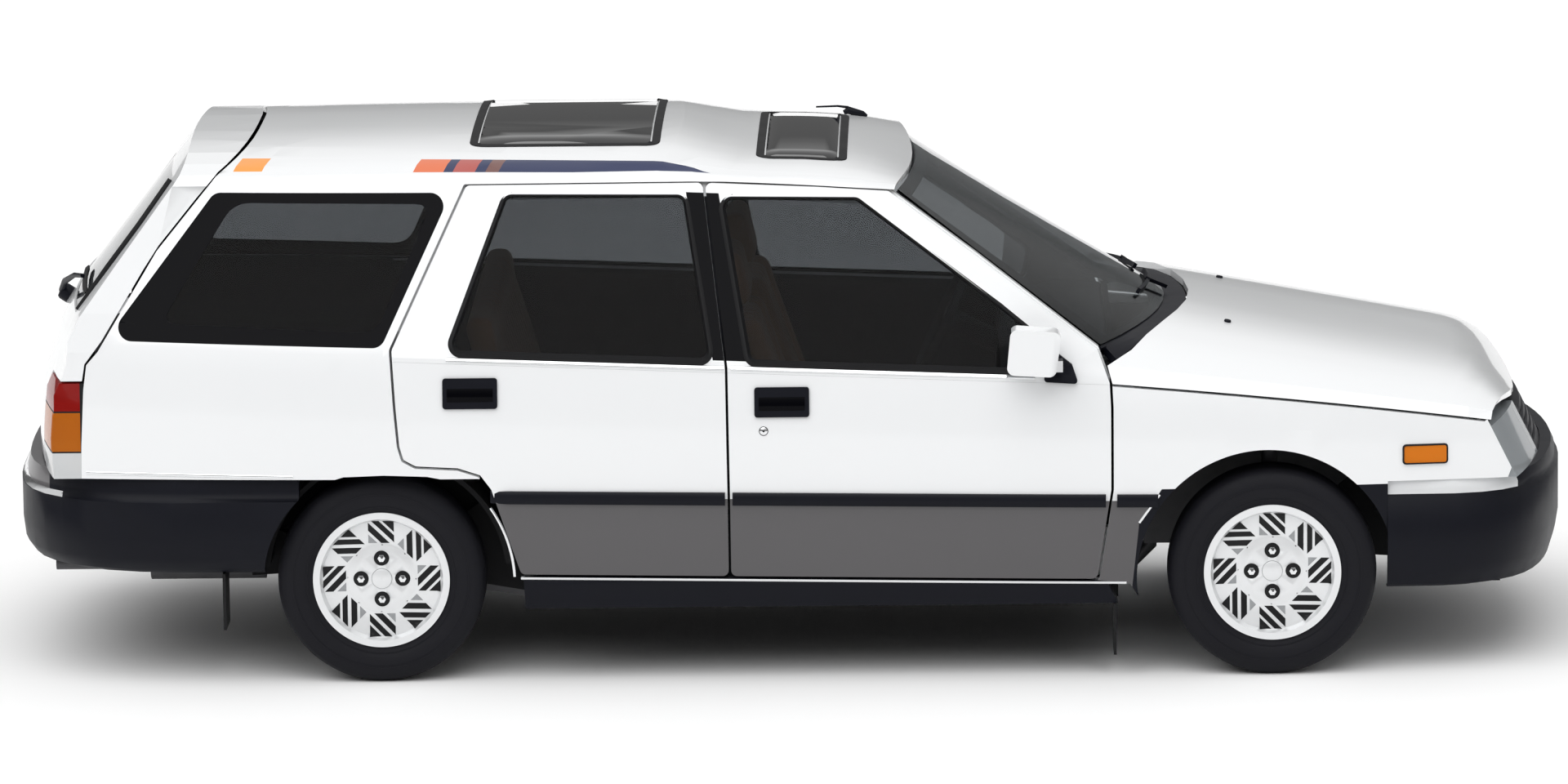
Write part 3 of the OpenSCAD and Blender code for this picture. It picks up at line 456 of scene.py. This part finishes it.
def box_outline(x0, z0, x1, z1):
    """Upright rectangle between two corners."""
    return [(x0, z0), (x1, z0), (x1, z1), (x0, z1)]


def every(f):
    """Picks all faces."""
    return True


def aside(least):
    """Picks the faces that lie further from the middle of the car than a distance."""
    return lambda f: abs(f.calc_center_median().y) > least


def higher(least):
    """Picks the faces above a height."""
    return lambda f: f.calc_center_median().z > least


def pane(side, least=0.25):
    """Picks both faces of the pane on one side."""
    return lambda f: abs(f.normal.y) > least and f.calc_center_median().y * side > 0


# Zones in side view, metres
ALL = box_outline(-3.0, -1.0, 3.0, 3.0)
LOW = under(rub_z, -1.0, 1.1)
SILL = under(sill_z, -1.2, 1.3)
PILLAR = [(-0.2645, 1.300), (-0.1955, 0.870), (-0.1035, 0.866), (-0.1775, 1.296)]
# Painted shade: the body side behind the door shut gap at the centre pillar is painted black so that the gap
# reads dark
PAINTED_GAP_SHADE = [(-0.285, 1.285), (-0.215, 0.25), (-0.085, 0.25), (-0.155, 1.285)]
CLEAR_QUARTER = rounded([(-1.6665, 0.974), (-1.0905, 0.948), (-0.9435, 1.277), (-1.4725, 1.283)], 0.045)
BEHIND_ARCH = under(rub_z, 0.5, 1.15)
ARCH_TOP = 0.515
AHEAD_OF_ARCH = [(1.45, ARCH_TOP), (1.75, ARCH_TOP), (1.75, 0.0), (1.45, 0.0)]
ARCH_CORNER = [(0.995, ARCH_TOP), (1.2, ARCH_TOP), (1.2, 0.1), (0.90, 0.1), (0.9345, 0.424)]
FRONT_HANDLE = box_outline(-0.2, 0.66, 0.2, 0.82)
MIRROR_FOOT = box_outline(0.60, 0.70, 0.85, 0.93)
FOOT_REACH, MIRROR_REACH = 0.824, 0.83
FRONT_SEAT_HALF, REAR_SEAT_HALF, CUSHION_BASE = 0.225, 0.60, 0.345
# End of a knuckle's stub, made thinner so that its facets clear the turning rim's
STUB_FROM, STUB_RADIUS, STUB_SHRINK = 0.66, 0.0226, 0.98

for side, s in SIDES.items():
    out = outward(s)
    for end in ENDS:
        skin(f"door_{end}_{side}", [PAINT, GREY, GLOSS, INNER],
             [(LOW, SIDE_VIEW, out, 1), (PILLAR, SIDE_VIEW, out, 2), (ALL, SIDE_VIEW, inward(s), 3)])
        skin(f"glass_{end}_{side}", [GLASS])
    skin(f"fender_{side}", [PAINT, GREY, TRIM],
         [(BEHIND_ARCH, SIDE_VIEW, out, 1), (AHEAD_OF_ARCH, SIDE_VIEW, every, 2),
          (ARCH_CORNER, SIDE_VIEW, lambda f: f.calc_center_median().z < ARCH_TOP, 2)])
    # The sill is black trim; the zone behind the door shut gap is painted shade in black
    skin(f"body_side_{side}", [PAINT, TRIM, INNER],
         [(SILL, SIDE_VIEW, every, 1), (PAINTED_GAP_SHADE, SIDE_VIEW, out, 1), (ALL, SIDE_VIEW, inward(s), 2)])
    near = lambda f: abs(f.calc_center_median().y) < FOOT_REACH
    glass = lambda f: f.normal.x < -0.8 and abs(f.calc_center_median().y) > MIRROR_REACH
    skin(f"fittings_front_{side}", [PAINT, TRIM, MIRROR],
         [(FRONT_HANDLE, SIDE_VIEW, every, 1), (MIRROR_FOOT, SIDE_VIEW, near, 1), (ALL, SIDE_VIEW, glass, 2)])
    skin(f"fittings_rear_{side}", [TRIM])
    seat = f"front_seat_{side}"
    padded_seat(seat, middle_of(seat).y, FRONT_SEAT_HALF, CUSHION_BASE)
    stub = skin(f"knuckle_{side}", [STEEL])
    for v in stub.data.vertices:
        arm = Vector((v.co.x - FRONT_X, v.co.z - HUB_Z))
        if abs(v.co.y) > STUB_FROM and arm.length < STUB_RADIUS:
            v.co.x, v.co.z = FRONT_X + arm.x * STUB_SHRINK, HUB_Z + arm.y * STUB_SHRINK

skin("quarter_glass", [GLOSS, GLASS], [(CLEAR_QUARTER, SIDE_VIEW, pane(s), 1) for s in SIDES.values()])


# Stripe along the roof's shoulder, as (start, end) on its upper edge in metres; the lettered stretch is bare

UPPER_EDGE = ((-1.456, 0.4957), (-0.978, 0.5317), (-0.352, 0.5565), (-0.1, 0.5565))
LOWER_EDGE = ((-1.476, 0.580), (-0.988, 0.605), (-0.569, 0.6087), (-0.1, 0.6087))
STRIPE_LEAN = 0.0195


def shoulder_y(x, low):
    """Distance of the stripe's upper or lower edge from the middle of the car."""
    table = LOWER_EDGE if low else UPPER_EDGE
    for (xa, ya), (xb, yb) in zip(table, table[1:]):
        if x <= xb:
            return ya + (yb - ya) * (x - xa) / (xb - xa)
    return table[-1][1]


def stripe(start, end, s):
    """Slanted patch of the stripe in plan view on one side."""
    return [(start, s * shoulder_y(start, False)), (end, s * shoulder_y(end, False)),
            (end - STRIPE_LEAN, s * shoulder_y(end, True)),
            (start - STRIPE_LEAN, s * shoulder_y(start, True))]


# Start, end and material of each patch; a long navy tail follows the last one
PATCHES = ((-1.4559, -1.3787, 1), (-0.974, -0.893, 2), (-0.893, -0.868, 3), (-0.868, -0.809, 4),
           (-0.809, -0.781, 3), (-0.781, -0.746, 5))
TAIL_START = PATCHES[-1][1]
roof_zones = []
for s in SIDES.values():
    upper = lambda f, s=s: f.normal.z > 0.2 and f.calc_center_median().y * s > 0.3
    roof_zones += [(stripe(a, b, s), PLAN_VIEW, upper, k) for a, b, k in PATCHES]
    lower_start = TAIL_START - STRIPE_LEAN
    tail = [(TAIL_START, s * shoulder_y(TAIL_START, False)), (-0.3524, s * 0.5565), (-0.2648, s * 0.5708),
            (-0.199, s * 0.5989), (-0.569, s * 0.6087), (lower_start, s * shoulder_y(lower_start, True))]
    roof_zones.append((tail, PLAN_VIEW, upper, 3))
roof_zones.append((ALL, SIDE_VIEW, lambda f: f.normal.z < -0.2, 6))
skin("roof_panel", [PAINT, ORANGE, CORAL, NAVY, RUST, BROWN, LINING], roof_zones)
skin("sunroof_glass", [SMOKED])
skin("windscreen", [SCREEN])
skin("windscreen_frame", [TRIM])
skin("wipers", [TRIM])
ledge = box_outline(1.5, 0.484, 2.2, 0.524)
step = box_outline(-2.2, 0.512, -1.985, 0.6)
lip = box_outline(-2.2, 0.501, -1.945, 0.512)
skin("front_bumper", [TRIM, SILVER], [(ledge, SIDE_VIEW, aside(0.64), 1)])
skin("rear_bumper", [TRIM, GREY, CHROME],
     [(step, SIDE_VIEW, higher(0.495), 1), (lip, SIDE_VIEW, higher(0.495), 2)])
skin("grille", [TRIM])
skin("bonnet", [PAINT])
skin("tailgate", [PAINT, INNER], [(ALL, SIDE_VIEW, lambda f: f.normal.x > 0.3, 1)])
skin("tailgate_glass", [GLASS])
padded_seat("rear_seat", 0.0, REAR_SEAT_HALF, 0.0)
skin("dashboard", [INNER])
skin("steering_wheel", [INNER])
skin("mud_flaps", [RUBBER])
skin("exhaust", [STEEL])
for node in ("floor_pan", "front_structure", "fuel_tank"):
    skin(node, [DARK])
for node in ("engine", "front_suspension", "rear_axle"):
    skin(node, [STEEL])

marker = box_outline(1.50, 0.54, 1.78, 0.64)
skin("front_lamps", [LENS, AMBER], [(marker, SIDE_VIEW, aside(0.5), 1)])
RED_FROM, WHITE_TO, HALF_RIB = 0.741, 0.633, 0.0022
lamp_zones = [(box_outline(-3, RED_FROM, 0, 1.2), 1), (box_outline(-3, 0.0, 0, WHITE_TO), 2)]
lamp_zones += [(box_outline(-3, z - HALF_RIB, 0, z + HALF_RIB), 3) for z in (RED_FROM, WHITE_TO)]
lamp_zones.append((box_outline(-1.886, WHITE_TO, -1.80, 0.9), 3))
skin("rear_lamps", [DEEP_AMBER, RED, WHITE_LENS, RUBBER],
     [(outline, SIDE_VIEW, every, k) for outline, k in lamp_zones])


# Strips and seals

for name, start, end, n, body in (("rear", -0.792, -0.167, 14, "door_rear_{side}"),
                                  ("front", -0.147, 0.846, 14, "door_front_{side}"),
                                  ("fender", 0.876, 0.985, 4, "body")):
    path = [(x, rub_z(x)) for x, _ in line((start, 0), (end, 0), n)]
    strip(f"rub_strip_{name}", path, 0.036, 0.014, TRIM, body)
strip("belt_strip_rear", line((-0.905, 0.880), (-0.166, 0.850)), 0.013, 0.005, CHROME, "door_rear_{side}")
strip("belt_strip_front", line((-0.148, 0.850), (0.660, 0.818)), 0.013, 0.005, CHROME, "door_front_{side}")
path = [(x, sill_z(x) - 0.007) for x, _ in line((-0.715, 0), (0.900, 0))]
strip("sill_strip", path, 0.009, 0.004, CHROME, "body")
strip("quarter_strip", line((-1.872, 0.578), (-1.318, 0.569)), 0.009, 0.004, CHROME, "body")

for end in ENDS:
    outline = glass_outline(f"glass_{end}_right")
    seal(f"glass_seal_{end}", outline, -0.012, 0.010, 0.003, RUBBER, "door_" + end + "_{side}")


# Wheels

def lathe(profile, segments):
    """Verts and faces of a closed profile of (radius, across) turned about Y."""
    verts, faces, n = [], [], len(profile)
    for i in range(segments):
        a = 2 * math.pi * i / segments
        verts += [(r * math.cos(a), y, r * math.sin(a)) for r, y in profile]
    for i in range(segments):
        j = (i + 1) % segments
        faces += [(i * n + k, j * n + k, j * n + (k + 1) % n, i * n + (k + 1) % n) for k in range(n)]
    return verts, faces


def moved(verts, at):
    """Points shifted by a vector."""
    return [(x + at[0], y + at[1], z + at[2]) for x, y, z in verts]


AXIS_HOLE = 0.0005  # keeps the points of a turned plug apart on its axis


def disc(radius, depth, segments, dome):
    """Short plug standing out along -Y with a bevelled, slightly domed front."""
    return lathe([(AXIS_HOLE, 0.0), (radius, 0.0), (radius, -depth * 0.75), (radius * 0.85, -depth),
                  (AXIS_HOLE, -depth - dome)], segments)


def stud(name, at, normal, radius, height, material, body, segments=20):
    """Small domed button that stands out of a surface along its normal."""
    turn = Vector((0, -1, 0)).rotation_difference(Vector(normal)).to_matrix()
    verts, faces = disc(radius, height, segments, height * 0.15)
    verts = [turn @ Vector(v) + Vector(at) for v in verts]
    link(name, new_mesh(name, verts, faces, material, 30.0), body)


def tube(name, points, radii, material, body, segments=14):
    """Round bar along 3-D points, with a radius for each point."""
    pts = [Vector(q) for q in points]
    verts, faces = [], []
    for i, q in enumerate(pts):
        way = (pts[min(i + 1, len(pts) - 1)] - pts[max(i - 1, 0)]).normalized()
        a = way.cross(Vector((0, 0, 1)) if abs(way.z) < 0.9 else Vector((1, 0, 0))).normalized()
        b = way.cross(a)
        for k in range(segments):
            t = 2 * math.pi * k / segments
            verts.append(q + (a * math.cos(t) + b * math.sin(t)) * radii[i])
    for i in range(len(pts) - 1):
        for k in range(segments):
            j = (k + 1) % segments
            faces.append((i * segments + k, i * segments + j, (i + 1) * segments + j, (i + 1) * segments + k))
    faces.append(tuple(range(segments)))
    faces.append(tuple(range(len(verts) - segments, len(verts))))
    link(name, new_mesh(name, verts, faces, material, 40.0), body)


def arch_guard(name, centre_x, start, end, y, s, inner, outer):
    """Dark shield on the inner side of a wheel arch, a ring sector with a rolled edge."""
    roll = 0.004
    profile = [(inner, y), (inner + roll, y + roll), (outer - roll, y + roll),
               (outer, y), (outer - roll, y - roll), (inner + roll, y - roll)]
    n, steps = len(profile), 16
    verts, faces = [], []
    for i in range(steps + 1):
        a = math.radians(start + (end - start) * i / steps)
        verts += [(centre_x + r * math.cos(a), s * w, HUB_Z + r * math.sin(a)) for r, w in profile]
    for i in range(steps):
        faces += [(i * n + k, (i + 1) * n + k, (i + 1) * n + (k + 1) % n, i * n + (k + 1) % n)
                  for k in range(n)]
    faces += [tuple(range(n)), tuple(range(steps * n, steps * n + n))]
    link(name, new_mesh(name, verts, faces, DARK, 30.0), "body")


def clipped(poly, low, high):
    """Part of a flat polygon where the sum of its two coordinates lies between two values."""
    for sign, limit in ((1, high), (-1, -low)):
        out = []
        for p, q in zip(poly, poly[1:] + poly[:1]):
            dp, dq = sign * (p[0] + p[1]) - limit, sign * (q[0] + q[1]) - limit
            if dp <= 0:
                out.append(p)
            if dp * dq < 0:
                t = dp / (dp - dq)
                out.append((p[0] + (q[0] - p[0]) * t, p[1] + (q[1] - p[1]) * t))
        poly = out
    return poly


MOTIFS, MOTIF_RADIUS = 8, 0.1265
MOTIF = box_outline(-0.0345, -0.0305, 0.0345, 0.0305)
# Slanted bands of a motif, as the limits of the sum of its coordinates and a material
BANDS = ((0.0342, 0.09, 0), (0.0053, 0.0249, 0), (-0.0305, -0.0083, 0), (-0.09, -0.041, 1))
INLAY_TOP, INLAY_FOOT = 0.0011, -0.001


def wheel_inlays(name, body, at, s, depth):
    """Slanted black motifs, each with a grey corner, on the face of a wheel."""
    bands = [(clipped(MOTIF, lo, hi), k) for lo, hi, k in BANDS]
    bm = bmesh.new()
    for step in range(MOTIFS):
        a = step * 2 * math.pi / MOTIFS
        out, side = Vector((math.cos(a), 0, math.sin(a))), Vector((math.sin(a), 0, -math.cos(a)))
        for poly, k in bands:
            face = bm.faces.new([bm.verts.new(out * (MOTIF_RADIUS + v) + side * u) for u, v in poly])
            face.material_index = k
    bmesh.ops.triangulate(bm, faces=bm.faces[:])
    bmesh.ops.subdivide_edges(bm, edges=bm.edges[:], cuts=2, use_grid_fill=True)
    top = bmesh.ops.extrude_face_region(bm, geom=bm.faces[:])["geom"]
    raised = {v for v in top if isinstance(v, bmesh.types.BMVert)}
    for v in bm.verts:
        r = math.hypot(v.co.x, v.co.z)
        v.co.y = s * (depth(r) + (INLAY_TOP if v in raised else INLAY_FOOT))
        v.co += Vector((at[0], 0, at[2]))
    bmesh.ops.recalc_face_normals(bm, faces=bm.faces)
    mesh = bpy.data.meshes.new(name)
    mesh.materials.append(INLAY)
    mesh.materials.append(INLAY_GREY)
    bm.to_mesh(mesh)
    bm.free()
    link(name, mesh, body)


PROBE_FROM, PROBE_STEP, PROBES = 0.03, 0.004, 60  # radii at which a wheel's face is measured


def face_depth(node, at, s, angles):
    """Distance of a wheel's outer face from the middle of the car by radius, the highest over some angles."""
    tree = surface(node)
    table = []
    for i in range(PROBES):
        r = PROBE_FROM + PROBE_STEP * i
        starts = [Vector((at[0] + r * math.cos(a), s * 1.2, at[2] + r * math.sin(a))) for a in angles]
        hits = [tree.ray_cast(start, Vector((0, -s, 0)))[0] for start in starts]
        table.append((r, max([abs(h.y) for h in hits if h] or [table[-1][1] if table else 0.0])))

    def depth(r):
        i = min(len(table) - 2, max(0, int((r - PROBE_FROM) / PROBE_STEP)))
        (ra, ya), (rb, yb) = table[i], table[i + 1]
        return ya + (yb - ya) * (r - ra) / (rb - ra)
    return depth


def ring(name, body, at, s, radius, width, base, lift, material, segments=72):
    """Raised ring on the outer side of a wheel."""
    foot = base - 0.002
    profile = [(radius - width / 2, foot), (radius - width / 3, base + lift),
               (radius + width / 3, base + lift), (radius + width / 2, foot)]
    verts, faces = lathe([(r, s * y) for r, y in profile], segments)
    link(name, new_mesh(name, moved(verts, (at[0], 0, at[2])), faces, material, 40.0), body)


FACE_RADII = (0.0925, 0.100, 0.115, 0.130, 0.145, 0.158)
FACE_LIFT, FACE_SKIRT = 0.0004, 0.003
NUTS, NUT_CIRCLE = 4, 0.0557
WALL_RINGS = (("wall", 0.236, 0.006), ("bead", 0.200, 0.005))


def wheel_trim(name, node, body, at, s):
    """Face ring over the CAD slots, inlays, nuts on black discs that are painted shade of their recesses,
    centre cap and tyre rings on a wheel.
    """
    depth = face_depth("rim_" + node, at, s, [math.pi / 8])
    crest = face_depth("rim_" + node, at, s, [math.pi * i / 60 for i in range(120)])
    first, last = FACE_RADII[0], FACE_RADII[-1]
    profile = [(first - 0.001, s * (crest(first) - FACE_SKIRT))]
    profile += [(r, s * (crest(r) + FACE_LIFT)) for r in FACE_RADII]
    profile.append((last + 0.001, s * (crest(last) - FACE_SKIRT)))
    verts, faces = lathe(profile, 96)
    mesh = new_mesh(f"{name}_face", moved(verts, (at[0], 0, at[2])), faces, ALLOY, 40.0)
    link(f"{name}_face", mesh, body)
    wheel_inlays(f"{name}_inlays", body, at, s, crest)
    out = (0, s, 0)
    for k in range(NUTS):
        a = k * 2 * math.pi / NUTS
        place = Vector((at[0] + NUT_CIRCLE * math.cos(a), s * (depth(NUT_CIRCLE) - 0.001),
                        at[2] + NUT_CIRCLE * math.sin(a)))
        # Black disc under each nut: painted shade of the recess round the nut
        stud(f"{name}_seat_{k}", place, out, 0.0205, 0.0022, INLAY, body, 28)
        stud(f"{name}_nut_{k}", place, out, 0.0115, 0.0105, CHROME, body, 6)
    hub = (at[0], s * (depth(PROBE_FROM) - 0.002), at[2])
    stud(f"{name}_cap_rim", hub, out, 0.0278, 0.004, INLAY_GREY, body, 40)
    stud(f"{name}_cap", hub, out, 0.0265, 0.006, ALLOY, body, 40)
    wall = face_depth("tyre_" + node, at, s, [0.1])
    for part, radius, width in WALL_RINGS:
        ring(f"{name}_{part}_ring", body, at, s, radius, width, wall(radius), 0.001, TYRE)


for end in ENDS:
    for side, s in SIDES.items():
        wheel = f"{end}_{side}"
        skin("tyre_" + wheel, [TYRE], angle=40.0)
        skin("rim_" + wheel, [ALLOY], angle=20.0)
        wheel_trim("wheel_" + wheel, wheel, "wheel_" + wheel, middle_of("tyre_" + wheel), s)


# Small fittings

HANDLE = Side("fittings_front_right", "fittings_rear_right")
for end, x0, x1, z in (("front", -0.074, 0.048, 0.7555), ("rear", -0.903, -0.781, 0.7865)):
    strip(f"handle_flap_{end}", line((x0, z), (x1, z), 6), 0.036, 0.004, GLOSS,
          "door_" + end + "_{side}", sunk=0.001, on=HANDLE)
strip("fender_strip", line((0.9345, 0.424), (0.989, 0.500), 6), 0.007, 0.003, CHROME, "body")
ARCH_RADIUS = 0.3585
angles = [math.radians(2 + 32 * i / 12) for i in range(13)]
arch = [(REAR_X + ARCH_RADIUS * math.cos(a), HUB_Z + ARCH_RADIUS * math.sin(a)) for a in angles]
strip("arch_strip", arch, 0.007, 0.003, CHROME, "door_rear_{side}")

# Load lining: stations, height of the load floor, wheel house, inner edge, rise to the panel and thickness
LINING_X0, LINING_X1 = -1.96, REAR_X - 0.02
LOAD_Z, HOUSE_X, HOUSE_RADIUS = 0.5405, REAR_X + 0.015, 0.3335
LINING_EDGE, LINING_RISE, LINING_THICK = 0.535, 0.03, 0.004
PANEL_LEAST, PANEL_DEPTH = 0.70, 0.008


def load_lining(name, s):
    """Lining that closes the load floor and the wheel house to the quarter panel."""
    verts, faces = [], []
    for x, _ in line((LINING_X0, 0.0), (LINING_X1, 0.0), 40):
        over_house = HOUSE_RADIUS ** 2 - (x - HOUSE_X) ** 2
        z = max(LOAD_Z, HUB_Z + math.sqrt(max(over_house, 0.0)))
        outer = max(-SKIN.y(x, z + LINING_RISE), PANEL_LEAST) - PANEL_DEPTH
        verts += [(x, s * LINING_EDGE, z), (x, s * outer, z + LINING_RISE),
                  (x, s * outer, z + LINING_RISE + LINING_THICK), (x, s * LINING_EDGE, z + LINING_THICK)]
    for i in range(0, len(verts) - 4, 4):
        faces += [(i + k, i + 4 + k, i + 4 + (k + 1) % 4, i + (k + 1) % 4) for k in range(4)]
    faces += [(0, 1, 2, 3), tuple(range(len(verts) - 4, len(verts)))]
    link(name, new_mesh(name, verts, faces, DARK), "body")


LOCK_X, LOCK_Z = -0.0621, 0.6829
# The lock's black slot is painted shade of the key hole; its ring and face are in the lock's own colours
LOCK_PARTS = (("ring", 0.0125, 0.002, RUBBER), ("face", 0.0105, 0.004, CHROME), ("slot", 0.0030, 0.006, INLAY))
# Wheel station, first and last angle, distance from the middle, inner and outer radius
GUARDS = (("front", FRONT_X, -4, 42, 0.425, 0.23, 0.40), ("rear", REAR_X, -10, 34, 0.575, 0.21, 0.42),
          ("tail", REAR_X, 160, 183, 0.575, 0.21, 0.36))
for side, s in SIDES.items():
    hit, normal = SKIN.tree.ray_cast(Vector((LOCK_X, BESIDE_RIGHT, LOCK_Z)), TO_LEFT)[:2]
    hit, normal = Vector((hit.x, -s * hit.y, hit.z)), Vector((normal.x, -s * normal.y, normal.z))
    for part, radius, height, finish in LOCK_PARTS:
        stud(f"door_lock_{part}_{side}", hit - normal * 0.001, normal, radius, height, finish,
             f"door_front_{side}")
    for part, x, start, end, y, inner, outer in GUARDS:
        arch_guard(f"arch_guard_{part}_{side}", x, start, end, y, s, inner, outer)
    load_lining(f"load_lining_{side}", s)

marker_box = box_outline(1.642, 0.570, 1.755, 0.615)
seal("marker_frame", rounded(marker_box, 0.006, 3), -0.002, 0.006, 0.006, RUBBER, "body")

LIDS = surface("roof_panel", "sunroof_glass")
LID_HALF, LID_CORNER, LID_PIECE = 0.429, 0.045, 0.03
# Section of a lid's frame, as (offset from its outline, height)
LID_SECTION = ((-0.020, -0.004), (-0.017, 0.0025), (0.003, 0.0025), (0.007, -0.004))


def lid_frame(name, x0, x1):
    """Rubber frame with rounded corners round a roof lid, on the roof's own curve."""
    outline = rounded(box_outline(x0, -LID_HALF, x1, LID_HALF), LID_CORNER, 6)
    dense = []
    for a, b in zip(outline, outline[1:] + outline[:1]):
        n = max(1, int((Vector(b) - Vector(a)).length / LID_PIECE))
        dense += [(a[0] + (b[0] - a[0]) * i / n, a[1] + (b[1] - a[1]) * i / n) for i in range(n)]
    verts = []
    for by, up in LID_SECTION:
        for x, y in grown(dense, by):
            verts.append(LIDS.ray_cast(Vector((x, y, ABOVE_ROOF)), DOWN)[0] + Vector((0, 0, up)))
    link(name, new_mesh(name, verts, band_faces(len(dense), len(LID_SECTION)), RUBBER, 40.0), "body")


lid_frame("rear_lid_frame", -0.847, -0.343)
lid_frame("front_lid_frame", -0.077, 0.159)

bonnet = surface("bonnet")
for k, (x, y) in enumerate(((1.1855, 0.3353), (1.1848, -0.3798))):
    hit, normal = bonnet.ray_cast(Vector((x, y, ABOVE_ROOF)), DOWN)[:2]
    stud(f"washer_jet_{k}", hit - normal * 0.001, normal, 0.0095, 0.007, TRIM, "bonnet")

TAIL = surface("tailgate", "tailgate_glass")
BEHIND_TAIL = -2.6


def on_tail(y, z, out):
    """Point that stands a little off the tailgate's outer face."""
    hit, normal = TAIL.ray_cast(Vector((BEHIND_TAIL, y, z)), Vector((1, 0, 0)))[:2]
    return hit + normal * (out if normal.x < 0 else -out)


SEAL_PATH = ((-0.595, 0.99), (-0.595, 1.10), (-0.58, 1.22), (-0.535, 1.330))
for side, s in SIDES.items():
    path = [on_tail(-s * y, z, 0.003) for y, z in SEAL_PATH]
    tube(f"tailgate_seal_{side}", path, [0.009] * len(path), RUBBER, "tailgate")

PIVOT = (-0.06, 0.945)  # of the rear wiper
stud("rear_wiper_boss", on_tail(*PIVOT, -0.002), on_tail(*PIVOT, 1.0) - on_tail(*PIVOT, 0.0),
     0.024, 0.030, TRIM, "tailgate")
arm = [on_tail(*PIVOT, 0.026), on_tail(-0.12, 0.975, 0.034), on_tail(-0.25, 1.010, 0.034),
       on_tail(-0.34, 1.030, 0.022)]
tube("rear_wiper_arm", arm, [0.010, 0.009, 0.007, 0.006], TRIM, "tailgate")
blade = [on_tail(-0.56 + 0.05 * i, 1.026, 0.010) for i in range(10)]
tube("rear_wiper_blade", blade, [0.003] + [0.007] * 8 + [0.003], RUBBER, "tailgate")

AERIAL_Y = 0.48
roof = surface("roof_panel")
base = [roof.ray_cast(Vector((x, AERIAL_Y, ABOVE_ROOF)), DOWN)[0] for x in (0.212, 0.200, 0.160, 0.147)]
foot = [q + Vector((0, 0, up)) for q, up in zip(base, (0.002, 0.006, 0.012, 0.004))]
tube("aerial_base", foot, [0.004, 0.009, 0.011, 0.006], TRIM, "body")
rod = [base[2] + Vector(by) for by in ((0, 0, 0.020), (-0.03, 0, 0.024), (-0.09, 0.002, 0.022))]
tube("aerial_rod", rod, [0.004, 0.003, 0.0025], TRIM, "body")


# Stage, light and camera

SKY_FROM, SKY_TO = (0.16, 0.12), (0.42, 0.72)  # height in the surround and strength there
FLOOR_HALF = 60
KEY_STRENGTH, KEY_SPREAD, KEY_WAY = 1.75, math.radians(70), (0.25, 0.55, -1.0)
# Camera fitted to the photograph
TURN, RISE, ROLL = math.radians(1.005), math.radians(10.0), math.radians(-0.728)
TARGET, DISTANCE = (-0.02075, 0, 0.645), 25.0
SENSOR, FOCAL = 36.0, 209.02


def studio():
    """Pale floor, a white surround that lights softly from above, and a broad key light on the near side."""
    world = bpy.data.worlds.new("studio")
    bpy.context.scene.world = world
    world.use_nodes = True
    tree = world.node_tree
    back = tree.nodes["Background"]
    back.inputs["Color"].default_value = (1, 1, 1, 1)
    path = tree.nodes.new("ShaderNodeLightPath")
    seen = tree.nodes.new("ShaderNodeMath")
    seen.operation = "MAXIMUM"
    tree.links.new(path.outputs["Is Camera Ray"], seen.inputs[0])
    tree.links.new(path.outputs["Is Transmission Ray"], seen.inputs[1])
    coords = tree.nodes.new("ShaderNodeTexCoord")
    split = tree.nodes.new("ShaderNodeSeparateXYZ")
    tree.links.new(coords.outputs["Generated"], split.inputs["Vector"])
    sky = tree.nodes.new("ShaderNodeMapRange")
    sky.inputs["From Min"].default_value = SKY_FROM[0]
    sky.inputs["From Max"].default_value = SKY_TO[0]
    sky.inputs["To Min"].default_value = SKY_FROM[1]
    sky.inputs["To Max"].default_value = SKY_TO[1]
    tree.links.new(split.outputs["Z"], sky.inputs["Value"])
    level = tree.nodes.new("ShaderNodeMix")
    level.inputs["B"].default_value = 1.0
    tree.links.new(seen.outputs[0], level.inputs["Factor"])
    tree.links.new(sky.outputs["Result"], level.inputs["A"])
    tree.links.new(level.outputs["Result"], back.inputs["Strength"])
    corners = [(x, y, 0) for x, y in box_outline(-FLOOR_HALF, -FLOOR_HALF, FLOOR_HALF, FLOOR_HALF)]
    floor = new_mesh("floor", corners, [(0, 1, 2, 3)],
                     shader("floor_white", (0.97, 0.97, 0.97), 0.95, vary=0.005, scale=1.0))
    ground = bpy.data.objects.new("floor", floor)
    bpy.context.scene.collection.objects.link(ground)
    lamp = bpy.data.lights.new("key", "SUN")
    lamp.energy, lamp.angle = KEY_STRENGTH, KEY_SPREAD
    key = bpy.data.objects.new("key", lamp)
    bpy.context.scene.collection.objects.link(key)
    key.rotation_euler = Vector(KEY_WAY).to_track_quat("-Z", "Y").to_euler()


def photo_camera():
    """Camera fitted to the photograph: nearly side-on from far off, a little above."""
    back = Vector((math.sin(TURN) * math.cos(RISE), -math.cos(TURN) * math.cos(RISE), math.sin(RISE)))
    right = Vector((math.cos(TURN), math.sin(TURN), 0))
    up = back.cross(right)
    across = right * math.cos(ROLL) + up * math.sin(ROLL)
    over = up * math.cos(ROLL) - right * math.sin(ROLL)
    spot = Vector(TARGET) + back * DISTANCE
    lens = bpy.data.cameras.new("photo_camera")
    lens.sensor_fit, lens.sensor_width, lens.lens = "HORIZONTAL", SENSOR, FOCAL
    lens.clip_start, lens.clip_end = 1.0, 200.0
    eye = bpy.data.objects.new("photo_camera", lens)
    bpy.context.scene.collection.objects.link(eye)
    eye.matrix_world = Matrix((across, over, back)).transposed().to_4x4()
    eye.location = spot
    bpy.context.scene.camera = eye


studio()
photo_camera()
bpy.context.scene.view_settings.view_transform = "Standard"
